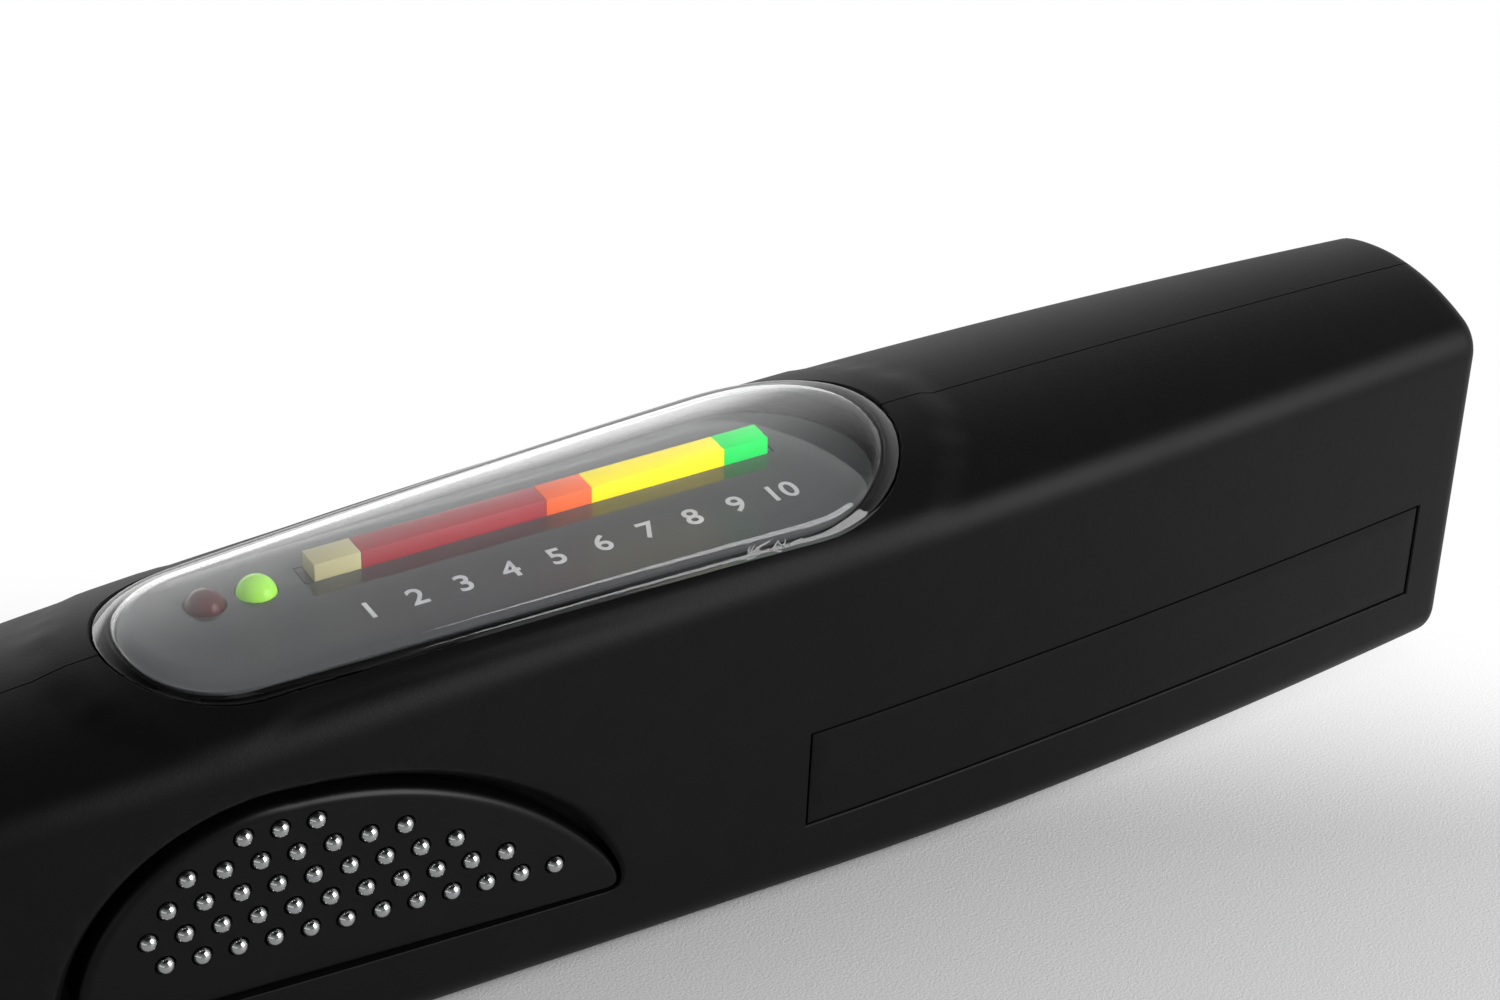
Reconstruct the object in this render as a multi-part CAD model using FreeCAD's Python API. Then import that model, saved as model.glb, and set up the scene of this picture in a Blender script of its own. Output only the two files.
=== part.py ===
import FreeCAD, Part
import math
import os

from FreeCAD import Vector

os.makedirs("parts", exist_ok=True)

# Hand-held diamond tester, in millimetres. X runs from the probe (-X) to the rear end (+X),
# Y across the body, Z up. The belly rests on z = 0, under the middle of the length.

# Body
total_length = 178.0
body_width = 25.0
rear_width = 18.4
front_width = 14.6
nose_curve = 3.5
shell_front_setback = 31.0
rear_taper_start = 30.0
roof_top = 33.5
roof_top_x = 54.0
roof_bow_radius = 1250.0
roof_front_fall = 3.6
crown_drop = 2.9
shoulder_radius = 3.0
belly_radius = 3.2
side_lean = 0.045
front_bend_x = -30.0
belly_front_lift = 6.6
rear_bend_x = 42.0
belly_rear_lift = 1.7
belly_flat = 0.35
wall = 1.6
rear_edge_radius = 1.4
front_spacing = 5.0
main_spacing = 17.0
cavity_spacing = 30.0
rear_edge_steps = 2
crown_angle = 22.0
crown_steps = 2
shoulder_steps = 5
corner_steps = 3
seam_width = 0.16
seam_depth = 0.22
fit_gap = 0.1
tool_reach = 6.0
inner_sides = 8
round_sides = 16

# Window and display
window_rear_x = 39.0
window_front_x = -24.0
window_rear_radius = 10.7
window_front_radius = 8.9
lens_rise = 0.95
lens_wall = 0.9
lens_rim_step = 0.4
lens_rim_width = 0.5
seat_z = 30.0
seat_ledge = 1.4
seat_thickness = 1.8
seat_margin = 1.0
collar_reach = 4.3
collar_side = 1.3
collar_lift = 0.3
panel_top = 30.2
panel_thickness = 1.0
panel_gap = 0.15
board_top = 26.0
board_thickness = 1.6
board_margin = 0.8
board_front_reach = 6.0
board_waist_x = -10.0
ledge_length = 4.0
ledge_width = 2.2
ledge_height = 1.6
ledge_setback = 1.0
ledge_rear_setback = 10.0
frame_wall = 1.2
frame_side_gap = 1.0
frame_end_gap = 3.0
bar_body_sink = 1.1
chip_size = 8.0
chip_height = 1.4
amplifier_x = -24.0
amplifier_length = 5.0
amplifier_width = 4.0
buzzer_x = -12.5
buzzer_radius = 4.5
buzzer_height = 4.2
segment_count = 10
segment_pitch = 3.84
segment_gap = 0.08
segment_width = 2.05
segment_rise = 1.3
bar_front_x = -7.1
bar_y = 3.7
bar_edge = 0.7
led_radius = 1.5
led_pitch = 4.0
led_y = 3.5
led_x = -10.6
led_rise = 0.8

# Grip pads and their contact domes
pad_tip = (11.5, 6.7)
pad_rise = (0.8, 17.9)
pad_top = (-14.7, 23.0)
pad_shoulder = (-26.2, 19.9)
pad_front = (-31.5, 10.9)
pad_heel = (-30.9, 8.4)
pad_gap = 0.4
pad_sink = 0.12
pad_thickness = 1.9
plate_thickness = 0.4
plate_margin = 1.0
pocket_floor = 1.0
pocket_rim = 0.8
dome_radius = 0.66
dome_rise = 0.6
dome_top = 0.85
dome_root = 0.1
dome_sides = 6
dome_hole_gap = 0.06
dome_pitch = 2.77
dome_row_slope = -3.6
dome_start = (-25.2, 12.2)
dome_counts = (12, 11, 9, 7, 3)
dome_shifts = (0.0, -0.5, 0.0, 0.5, 2.0)

# Bare name recess on the left side
recess_x = 26.8
recess_z = 6.2
recess_length = 58.0
recess_height = 8.7
recess_depth = 0.35
recess_slope = 1.1
recess_corner = 0.6

# Probe in the nose
cone_length = 16.0
cone_tip_radius = 3.4
spigot_length = 5.0
probe_z = 15.8
sleeve_radius = 2.0
sleeve_reach = 9.0
sleeve_edge = 0.5
sleeve_inner_length = 5.0
pin_radius = 0.9
pin_gap = 0.05
pin_point_length = 2.6
pin_point_radius = 0.3
collar_radius = 1.7
collar_length = 1.2
carrier_radius = 3.5
carrier_length = 17.0
carrier_bore_radius = 1.9
carrier_end = 4.0
spring_wire = 0.35

# Power button on the right side
button_setback = 20.6
button_z = 19.2
button_radius = 3.9
button_travel = 0.6
button_proud = 0.45
button_dish = 0.8
flange_radius = 4.8
flange_thickness = 0.8
flange_gap = 0.35
stem_radius = 1.3
stem_length = 0.6
button_dish_depth = 0.2
switch_gap = 0.2
switch_size = 6.0
switch_depth = 3.9
plunger_length = 1.8

# Battery bay
cell_radius = 5.2
cell_length = 43.5
cell_nub_radius = 1.9
cell_nub_length = 1.0
cell_floor = 3.9
cell_spacing = 10.7
contact_thickness = 0.4
contact_gap = 2.0
contact_clearance = 0.1
contact_width = 7.2
contact_height = 8.4
bulkhead_thickness = 1.8
bulkhead_lip = 1.2
door_width = 10.8
door_flange = 0.7
door_flange_thickness = 0.9
door_rail_z = 2.6
rail_thickness = 0.8
door_gap = 0.12
door_grooves = 5
door_groove_start = 5.0
door_groove_pitch = 2.0
door_groove_width = 0.8
door_groove_length = 7.0
door_groove_depth = 0.5

# Case screws, entered from the right side
boss_radius = 2.0
screw_radius = 0.9
screw_head_radius = 1.7
screw_head_height = 1.1
screw_sink = 0.8
screw_well_gap = 0.2
screw_reach = 0.5
screw_bore_reach = 0.6
front_screw_gap = 4.0
bay_screw_heights = (5.2, 20.0)
bay_screw_setback = 7.5
rear_screw_z = 27.4
rear_screw_setback = 10.0

# Levels and ends that follow from the sizes above
rear_x = total_length / 2
nose_x = -total_length / 2
shell_front_x = nose_x + shell_front_setback
cone_front_x = shell_front_x - cone_length
front_span = front_bend_x - shell_front_x
sleeve_back_x = cone_front_x + sleeve_inner_length
carrier_rear_x = sleeve_back_x + carrier_length
bay_front_x = rear_x - wall - contact_thickness * 2 - contact_gap - cell_length - cell_nub_length
button_x = bay_front_x - button_setback
screw_places = [(carrier_rear_x + front_screw_gap + boss_radius, probe_z)]
screw_places += [(bay_front_x - bay_screw_setback, z) for z in bay_screw_heights]
screw_places += [(rear_x - rear_screw_setback, rear_screw_z)]


def ramp(value):
    return min(max(value, 0.0), 1.0)


def roof_height(x):
    bow = roof_top - (x - roof_top_x) ** 2 / (2 * roof_bow_radius)
    return bow - roof_front_fall * ramp((front_bend_x - x) / front_span) ** 2


def belly_height(x):
    front = belly_front_lift * ramp((front_bend_x - x) / front_span) ** 2
    rear = belly_rear_lift * ramp((x - rear_bend_x) / (rear_x - rear_bend_x)) ** 1.5
    return front + rear - belly_flat


def half_width(x):
    rear = (body_width - rear_width) / 2 * ramp((x - rear_taper_start) / (rear_x - rear_taper_start)) ** 1.6
    front = (body_width - front_width) / 2 * ramp(x / shell_front_x) ** nose_curve
    return body_width / 2 - rear - front


def section_drop(half):
    return crown_drop * half / (body_width / 2)


def side_y(x, z):
    """Outer y of the flat part of the side wall."""
    half = half_width(x)
    return half - side_lean * (roof_height(x) - section_drop(half) - z)


def spread(start, end, longest):
    count = math.ceil((end - start) / longest - 0.01)
    return [start + (end - start) * i / count for i in range(count + 1)]


def facet_angles():
    """Which way the body's facets face, in degrees from straight up; the same all along it."""
    side = 90 + math.degrees(math.atan(side_lean))
    angles = [crown_angle * i / crown_steps for i in range(crown_steps)]
    angles += [crown_angle + (side - crown_angle) * i / shoulder_steps for i in range(shoulder_steps)]
    angles += [side + (180 - side) * i / corner_steps for i in range(corner_steps + 1)]
    return angles


def section_reach(x, lift=0.0):
    """How far the body reaches from the X axis in each facet's direction, at one place.

    The outline is a crowned roof, round shoulders, leaning sides and a flat belly with round corners.
    """
    half = half_width(x)
    drop = section_drop(half) + lift
    top = roof_height(x) + lift
    side_top = top - drop
    bottom = belly_height(x)
    shoulder = min(shoulder_radius, 0.45 * half)
    corner = min(belly_radius, 0.42 * half)
    crown = (half ** 2 + drop ** 2) / (2 * drop)
    slant = math.hypot(1, side_lean)

    # The shoulder's centre lies a shoulder radius inside both the crown and the side
    y0 = half - side_lean * side_top - shoulder / slant
    z0 = shoulder * side_lean / slant - (top - crown)
    b = y0 * side_lean + z0
    c = y0 ** 2 + z0 ** 2 - (crown - shoulder) ** 2
    z = (-b + math.sqrt(b * b - slant ** 2 * c)) / slant ** 2
    shoulder_y = half - side_lean * (side_top - z) - shoulder / slant
    shoulder_z = z + shoulder * side_lean / slant
    foot = bottom + corner - corner * side_lean / slant
    corner_y = half - side_lean * (side_top - foot) - corner / slant
    crown_end = math.atan2(shoulder_y, shoulder_z - top + crown)

    reach = []
    for degrees in facet_angles():
        angle = math.radians(degrees)
        across, up = math.sin(angle), math.cos(angle)
        if angle <= crown_end:
            reach.append(crown + (top - crown) * up)
        elif across > 0 and angle <= math.pi / 2 + math.atan(side_lean) + 1e-9:
            reach.append(shoulder_y * across + shoulder_z * up + shoulder)
        else:
            reach.append(corner_y * across + (bottom + corner) * up + corner)
    return reach


def section_ring(x, reach):
    """Corners of the closed outline whose facets lie at these reaches, right side first."""
    angles = [math.radians(a) for a in facet_angles()]
    right = []
    for i in range(len(angles) - 1):
        s1, c1, h1 = math.sin(angles[i]), math.cos(angles[i]), reach[i]
        s2, c2, h2 = math.sin(angles[i + 1]), math.cos(angles[i + 1]), reach[i + 1]
        turn = s1 * c2 - s2 * c1
        right.append(Vector(x, (h1 * c2 - h2 * c1) / turn, (s1 * h2 - s2 * h1) / turn))
    return right + [Vector(p.x, -p.y, p.z) for p in reversed(right)]


def faceted_solid(rings):
    """Solid of flat facets between rings of equally many corners."""
    faces = [Part.Face(Part.makePolygon(ring + [ring[0]])) for ring in (rings[0], rings[-1])]
    for a, b in zip(rings, rings[1:]):
        for i in range(len(a)):
            j = (i + 1) % len(a)
            faces.append(Part.Face(Part.makePolygon([a[i], a[j], b[j], b[i], a[i]])))
    solid = Part.Solid(Part.Shell(faces))
    return solid if solid.Volume > 0 else solid.reversed()


def body_ring(x, inset=0.0, lift=0.0):
    return section_ring(x, [r - inset for r in section_reach(x, lift)])


def body_loft(inset=0.0, lift=0.0, front=shell_front_x, rear=rear_x, rear_round=0.0, spacing=main_spacing):
    """Body set in by an inset: close sections where the nose tapers, wide apart behind it."""
    straight_rear = rear - rear_round
    if straight_rear > front_bend_x:
        places = spread(front, front_bend_x, front_spacing)[:-1]
        places += spread(front_bend_x, straight_rear, spacing)
    else:
        places = spread(front, straight_rear, front_spacing)
    rings = [body_ring(x, inset, lift) for x in places]
    if rear_round:
        for i in range(1, rear_edge_steps + 1):
            angle = math.pi / 2 * i / rear_edge_steps
            rings.append(body_ring(straight_rear + rear_round * math.sin(angle),
                                   inset + rear_round * (1 - math.cos(angle)), lift))
    return faceted_solid(rings)


def box(x0, x1, y0, y1, z0, z1):
    return Part.makeBox(x1 - x0, y1 - y0, z1 - z0, Vector(x0, y0, z0))


def stepped_bar(profile, origin, axis, sides=round_sides):
    """Many-sided bar from (distance along a unit axis, radius) levels."""
    across = axis.cross(Vector(0, 0, 1) if abs(axis.z) < 0.5 else Vector(1, 0, 0)).normalize()
    up = across.cross(axis)
    turns = [2 * math.pi * (i + 0.5) / sides for i in range(sides)]
    spokes = [across * math.cos(a) + up * math.sin(a) for a in turns]
    rings = [[origin + axis * distance + spoke * radius for spoke in spokes] for distance, radius in profile]
    return faceted_solid(rings).removeSplitter()


def rod(radius, start, end, sides=round_sides):
    """Many-sided bar between two points."""
    axis = end - start
    return stepped_bar([(0, radius), (axis.Length, radius)], start, axis.normalize(), sides)


def fused(first, *others):
    return first.fuse(list(others)).removeSplitter()


def window_outline(grow, end_grow):
    """Long tapering oval of the window in the X-Y plane, grown by a margin, and more at its ends."""
    rear_r = window_rear_radius + grow
    front_r = window_front_radius + grow
    rear_cx = window_rear_x - window_rear_radius + end_grow
    front_cx = window_front_x + window_front_radius - end_grow
    cosine = (front_r - rear_r) / (rear_cx - front_cx)
    normal = Vector(cosine, math.sqrt(1 - cosine ** 2), 0)
    flipped = Vector(normal.x, -normal.y, 0)
    rear_centre = Vector(rear_cx, 0, 0)
    front_centre = Vector(front_cx, 0, 0)
    a, b = rear_centre + flipped * rear_r, rear_centre + normal * rear_r
    c, d = front_centre + normal * front_r, front_centre + flipped * front_r
    return Part.Wire([
        Part.Arc(a, rear_centre + Vector(rear_r, 0, 0), b).toShape(),
        Part.LineSegment(b, c).toShape(),
        Part.Arc(c, front_centre - Vector(front_r, 0, 0), d).toShape(),
        Part.LineSegment(d, a).toShape(),
    ])


def window_prism(grow, z0, z1, end_grow=0.0):
    face = Part.Face(window_outline(grow, end_grow))
    face.translate(Vector(0, 0, z0))
    return face.extrude(Vector(0, 0, z1 - z0))


def pad_outline(grow=0.0):
    """Half-moon of the grip pad in the X-Z plane."""
    def at(point):
        return Vector(point[0], 0, point[1])

    wire = Part.Wire([
        Part.Arc(at(pad_tip), at(pad_rise), at(pad_top)).toShape(),
        Part.Arc(at(pad_top), at(pad_shoulder), at(pad_front)).toShape(),
        Part.LineSegment(at(pad_front), at(pad_heel)).toShape(),
        Part.LineSegment(at(pad_heel), at(pad_tip)).toShape(),
    ])
    return wire.makeOffset2D(grow) if grow else wire


def pad_slab(grow, y0, y1):
    """Half-moon slab before it is set into the side: the pad's face is y = 0, outside is +y."""
    face = Part.Face(pad_outline(grow))
    face.translate(Vector(0, y0, 0))
    return face.extrude(Vector(0, y1 - y0, 0))


def set_in_side(shape, side):
    """Leans a piece of the grip on to the body's side; side is -1 for the left, 1 for the right."""
    placed = shape.copy()
    front_x = pad_front[0]
    tip_x = pad_tip[0]
    middle_z = (pad_heel[1] + pad_top[1]) / 2
    front_y = side_y(front_x, middle_z) - pad_sink
    tip_y = side_y(tip_x, middle_z) - pad_sink
    placed.rotate(Vector(0, 0, middle_z), Vector(1, 0, 0), -math.degrees(math.atan(side_lean)))
    placed.rotate(Vector(front_x, 0, 0), Vector(0, 0, 1),
                  math.degrees(math.atan((tip_y - front_y) / (tip_x - front_x))))
    placed.translate(Vector(0, front_y, 0))
    return placed if side > 0 else placed.mirror(Vector(0, 0, 0), Vector(0, 1, 0))


def stud(x, z, radius, levels):
    """Six-sided stud along y, from (y, share of the radius) levels."""
    rings = []
    for y, share in levels:
        turns = [2 * math.pi * i / dome_sides for i in range(dome_sides)]
        rings.append([Vector(x + radius * share * math.cos(a), y, z + radius * share * math.sin(a))
                      for a in turns])
    return faceted_solid(rings)


def dome_places():
    slope = math.radians(dome_row_slope)
    along = (math.cos(slope), math.sin(slope))
    across = (-along[1], along[0])
    row_spacing = dome_pitch * math.sqrt(3) / 2
    places = []
    for row, (count, shift) in enumerate(zip(dome_counts, dome_shifts)):
        for i in range(count):
            run = (i + shift) * dome_pitch
            rise = row * row_spacing
            places.append((dome_start[0] + along[0] * run + across[0] * rise,
                           dome_start[1] + along[1] * run + across[1] * rise))
    return places


pieces = {}

# Solids that several pieces share: the body, and the body set in by a wall or a sink
outer = body_loft(rear_round=rear_edge_radius)
cavity = body_loft(wall, front=shell_front_x - wall, rear=rear_x - wall, spacing=cavity_spacing)
ground = box(nose_x, rear_x + 1, -body_width, body_width, -3, 0)
half_space = {
    "left": box(nose_x, rear_x + 1, -body_width, 0, -3, roof_top + tool_reach),
    "right": box(nose_x, rear_x + 1, 0, body_width, -3, roof_top + tool_reach),
}
sides = {"left": -1, "right": 1}

# Housing: hollow body with the window collar and the seat of the lens
body = outer.cut(cavity)
collar = body_loft(lift=collar_lift).common(
    window_prism(collar_side, seat_z, roof_top + tool_reach, end_grow=collar_reach - collar_side))
seat = outer.common(window_prism(seat_margin, seat_z - seat_thickness, seat_z))
body = fused(body, collar.cut(cavity), seat)

# Housing: pockets for the grip pads, with a wall round and behind them
pad_back_y = -pad_thickness
plate_back_y = pad_back_y - plate_thickness
pocket_wall = pad_slab(pad_gap + pocket_rim, plate_back_y - pocket_floor, 0)
pocket = pad_slab(pad_gap, plate_back_y, body_width)
for side in sides.values():
    body = body.fuse(outer.common(set_in_side(pocket_wall, side)))
for side in sides.values():
    body = body.cut(set_in_side(pocket, side))

# Housing: bulkhead in front of the cells, ledges for the board and rails for the battery door
board_bottom = board_top - board_thickness
inside = body_loft(wall / 2)
bulkhead = inside.common(box(bay_front_x - bulkhead_thickness, bay_front_x, -body_width, body_width,
                             0, board_bottom))
body = body.fuse(bulkhead)
board_front_x = front_bend_x - board_front_reach
board_rear_x = bay_front_x
for x in (board_front_x + ledge_setback, board_rear_x - bulkhead_thickness - ledge_rear_setback):
    for side in sides.values():
        reach = half_width(x) - wall - ledge_width
        y0, y1 = sorted((side * reach, side * body_width))
        ledge = box(x, x + ledge_length, y0, y1, board_bottom - ledge_height, board_bottom)
        body = body.fuse(inside.common(ledge))
rail_y = door_width / 2
flange_y = rail_y + door_flange
rail_top = door_rail_z + door_flange_thickness + 2 * door_gap + rail_thickness
for side in sides.values():
    y0, y1 = sorted((side * rail_y, side * body_width))
    body = body.fuse(inside.common(box(bay_front_x, rear_x, y0, y1, 0, rail_top)))

# Housing: screw bosses
for x, z in screw_places:
    boss = rod(boss_radius, Vector(x, -body_width, z), Vector(x, body_width, z), inner_sides)
    body = body.fuse(inside.common(boss))

# Housing: openings
body = body.cut(window_prism(fit_gap, seat_z, roof_top + tool_reach))
body = body.cut(window_prism(-seat_ledge, seat_z - 2 * seat_thickness, seat_z + 1))
flange_top = door_rail_z + door_flange_thickness + 2 * door_gap
slot_x = bay_front_x + bulkhead_lip
slot_y = rail_y + door_gap
bay_slot = box(slot_x, rear_x - wall, -slot_y, slot_y, -2, rail_top)
door_slot = box(slot_x, rear_x + 2, -slot_y, slot_y, -2, flange_top)
flange_slot = box(slot_x, rear_x + 2, -flange_y - door_gap, flange_y + door_gap, door_rail_z, flange_top)
body = body.cut(fused(bay_slot, door_slot, flange_slot))
button_skin = side_y(button_x, button_z)
button_hole = rod(button_radius + fit_gap, Vector(button_x, button_skin - 2 * wall, button_z),
                  Vector(button_x, body_width, button_z))
body = body.cut(button_hole)
recess_face = body_loft(recess_depth)
recess_bar = box(0, recess_length, -body_width, 0, 0, recess_height)
corner_edges = [e for e in recess_bar.Edges if e.BoundBox.YLength > body_width - 1]
recess_bar = recess_bar.makeFillet(recess_corner, corner_edges)
recess_bar.rotate(Vector(0, 0, 0), Vector(0, -1, 0), recess_slope)
recess_bar.translate(Vector(recess_x, 0, recess_z))
body = body.cut(recess_bar.cut(recess_face))
for x, z in screw_places:
    skin = side_y(x, min(z, roof_height(x) - crown_drop))
    seat_y = skin - screw_sink - screw_head_height
    well = rod(screw_head_radius + screw_well_gap, Vector(x, seat_y, z), Vector(x, body_width, z))
    clearance = rod(screw_radius + fit_gap, Vector(x, 0, z), Vector(x, seat_y, z), inner_sides)
    grip = rod(screw_radius, Vector(x, -screw_bore_reach * skin, z), Vector(x, 0, z), inner_sides)
    body = body.cut([well, clearance, grip])
seam = outer.common(box(nose_x, rear_x + 1, -seam_width / 2, seam_width / 2, -3, roof_top + tool_reach))
body = body.cut(seam.cut(body_loft(seam_depth, rear=rear_x - seam_depth)))
body = body.cut(ground)
for name, space in half_space.items():
    pieces[name + "_shell"] = body.common(space)

# Lens: a clear cap that follows the crown, its skirt standing on the seat
lens_rim = body_loft(lens_rim_step - lens_rise).common(window_prism(0, seat_z, roof_top + tool_reach))
lens_dome = body_loft(-lens_rise).common(window_prism(-lens_rim_width, seat_z, roof_top + tool_reach))
lens = fused(lens_rim, lens_dome)
lens_inside = body_loft(lens_wall - lens_rise).common(
    window_prism(-lens_wall, seat_z - 1, roof_top + tool_reach))
lens = lens.cut(lens_inside)
pieces["lens_cover"] = lens

# Display: panel, frame, light bar with its coloured blocks, and two round lights
bar_length = segment_count * segment_pitch
block_y = (bar_y - segment_width / 2, bar_y + segment_width / 2)
slot = box(bar_front_x - fit_gap, bar_front_x + bar_length + fit_gap, block_y[0] - fit_gap,
           block_y[1] + fit_gap, board_top, panel_top + 3)
led_places = (led_x, led_x - led_pitch)
led_holes = [rod(led_radius + fit_gap, Vector(x, led_y, board_top - 1), Vector(x, led_y, panel_top + 1))
             for x in led_places]


def bar_box(grow, z0, z1):
    """Room of the light bar's body, which is a little wider and longer than its blocks."""
    edge = bar_edge + grow
    return box(bar_front_x - edge, bar_front_x + bar_length + edge,
               block_y[0] - edge, block_y[1] + edge, z0, z1)


panel = window_prism(-seat_ledge - panel_gap, panel_top - panel_thickness, panel_top)
pieces["display_panel"] = panel.cut(slot).cut(led_holes)
frame_top = panel_top - panel_thickness
frame_y = window_front_radius - seat_ledge - frame_side_gap
frame_x0 = window_front_x + seat_ledge + frame_end_gap
frame_x1 = window_rear_x - seat_ledge - frame_end_gap
display_frame = box(frame_x0, frame_x1, -frame_y, frame_y, board_top, frame_top)
hollow = box(frame_x0 + frame_wall, frame_x1 - frame_wall, -frame_y + frame_wall, frame_y - frame_wall,
             board_top - 1, frame_top - frame_wall)
bar_body_top = frame_top - bar_body_sink
led_reach = led_radius + fit_gap
led_opening = box(led_x - led_pitch - led_reach, led_x + led_reach, led_y - led_reach, led_y + led_reach,
                  board_top, panel_top)
display_frame = display_frame.cut(hollow).cut(bar_box(fit_gap, board_top - 1, bar_body_top + fit_gap))
pieces["display_frame"] = display_frame.cut(slot).cut(led_opening)
pieces["light_bar_body"] = bar_box(0, board_top, bar_body_top)
colour_groups = (("pale", 0, 1), ("red", 1, 5), ("orange", 5, 6), ("yellow", 6, 9), ("green", 9, 10))
for colour, first, last in colour_groups:
    blocks = []
    for i in range(first, last):
        x0 = bar_front_x + i * segment_pitch
        blocks.append(box(x0 + segment_gap / 2, x0 + segment_pitch - segment_gap / 2,
                          block_y[0], block_y[1], bar_body_top, panel_top + segment_rise))
    pieces["light_blocks_" + colour] = Part.makeCompound(blocks)
for name, x in zip(("ready_light", "battery_light"), led_places):
    pieces[name] = rod(led_radius, Vector(x, led_y, board_top), Vector(x, led_y, panel_top + led_rise))

# Board with its parts
board_points = []
for x in (board_front_x, board_waist_x, board_rear_x - bulkhead_thickness, board_rear_x):
    board_points.append((x, side_y(x, board_bottom) - wall - board_margin))
outline = [Vector(x, y, board_bottom) for x, y in board_points]
outline += [Vector(x, -y, board_bottom) for x, y in reversed(board_points)]
board = Part.Face(Part.makePolygon(outline + [outline[0]])).extrude(Vector(0, 0, board_thickness))
pieces["circuit_board"] = board
chip_bottom = board_bottom - chip_height
pieces["controller_chip"] = box(-chip_size / 2, chip_size / 2, -chip_size / 2, chip_size / 2,
                                chip_bottom, board_bottom)
pieces["amplifier_chip"] = box(amplifier_x, amplifier_x + amplifier_length,
                               -amplifier_width / 2, amplifier_width / 2, chip_bottom, board_bottom)
pieces["buzzer"] = rod(buzzer_radius, Vector(buzzer_x, 0, board_bottom - buzzer_height),
                       Vector(buzzer_x, 0, board_bottom))

# Power button, and the switch that hangs under the board edge
button_face = button_skin + button_proud
flange_y0 = button_skin - wall - flange_gap - flange_thickness
plunger_y = flange_y0 - stem_length
plunger_end = plunger_y - plunger_length


def on_button(y):
    return Vector(button_x, y, button_z)


dish_radius = button_radius - button_dish
button = fused(rod(button_radius, on_button(flange_y0), on_button(button_face)),
               rod(flange_radius, on_button(flange_y0), on_button(flange_y0 + flange_thickness)),
               rod(stem_radius, on_button(plunger_y), on_button(flange_y0), inner_sides))
dish = rod(dish_radius, on_button(button_face - button_dish_depth), on_button(button_face + 1))
pieces["power_button"] = button.cut(dish)
pieces["switch_plunger"] = rod(stem_radius, on_button(plunger_end), on_button(plunger_y), inner_sides)
switch_face = plunger_y - button_travel - switch_gap
switch = box(button_x - switch_size / 2, button_x + switch_size / 2, switch_face - switch_depth, switch_face,
             button_z - switch_size / 2, board_bottom)
plunger_bore = rod(stem_radius + fit_gap, on_button(plunger_end - button_travel - fit_gap),
                   on_button(plunger_y), inner_sides)
pieces["tact_switch"] = switch.cut(plunger_bore)

# Grip pads, and the contact plates whose studs come up through them, alike on both sides
places = dome_places()
stud_levels = ((plate_back_y + dome_root, 1.0), (dome_rise, dome_top))
plate = pad_slab(-plate_margin, plate_back_y, pad_back_y)
plate = plate.fuse([stud(x, z, dome_radius, stud_levels) for x, z in places])
pad = pad_slab(0, pad_back_y, 0)
hole_levels = ((pad_back_y - 1, 1.0), (1, 1.0))
pad = pad.cut([stud(x, z, dome_radius + dome_hole_gap, hole_levels) for x, z in places])
for name, side in sides.items():
    pieces[name + "_grip_pad"] = set_in_side(pad, side)
    pieces[name + "_contact_plate"] = set_in_side(plate, side)

# Nose cone with its spigot, and the probe
body_end = section_reach(shell_front_x)
cone_end = [cone_tip_radius + probe_z * math.cos(math.radians(a)) for a in facet_angles()]
cone = faceted_solid([section_ring(shell_front_x, body_end), section_ring(cone_front_x, cone_end)])
spigot = body_loft(wall + fit_gap, front=shell_front_x, rear=shell_front_x + spigot_length)
axis_point = Vector(0, 0, probe_z)


def on_axis(x):
    return axis_point + Vector(x, 0, 0)


cone = fused(cone, spigot)
cone = cone.cut(rod(carrier_radius + fit_gap, on_axis(sleeve_back_x), on_axis(rear_x)))
cone = cone.cut(rod(sleeve_radius + pin_gap, on_axis(nose_x), on_axis(sleeve_back_x)))
pieces["nose_cone"] = cone
sleeve_front_x = cone_front_x - sleeve_reach
sleeve_length = sleeve_back_x - sleeve_front_x
sleeve = stepped_bar([(0, sleeve_radius - sleeve_edge), (sleeve_edge, sleeve_radius),
                      (sleeve_length, sleeve_radius)], on_axis(sleeve_front_x), Vector(1, 0, 0))
pieces["probe_sleeve"] = sleeve.cut(rod(pin_radius + pin_gap, on_axis(nose_x), on_axis(sleeve_back_x)))
pin_collar_x = sleeve_back_x + pin_gap
pin_length = pin_collar_x + collar_length - nose_x
pieces["probe_tip"] = stepped_bar(
    [(0, pin_point_radius), (pin_point_length, pin_radius), (pin_length - collar_length, pin_radius),
     (pin_length - collar_length, collar_radius), (pin_length, collar_radius)],
    on_axis(nose_x), Vector(1, 0, 0))
bore_rear_x = carrier_rear_x - carrier_end
carrier = rod(carrier_radius, on_axis(sleeve_back_x), on_axis(carrier_rear_x))
pieces["probe_carrier"] = carrier.cut(rod(carrier_bore_radius, on_axis(nose_x), on_axis(bore_rear_x)))


def spring_sleeve(radius, start, end):
    """Room of a coil spring: a thin many-sided tube."""
    return rod(radius, start, end, inner_sides).cut(rod(radius - spring_wire, start, end, inner_sides))


pieces["probe_spring"] = spring_sleeve(collar_radius, on_axis(pin_collar_x + collar_length),
                                       on_axis(bore_rear_x))

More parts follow.
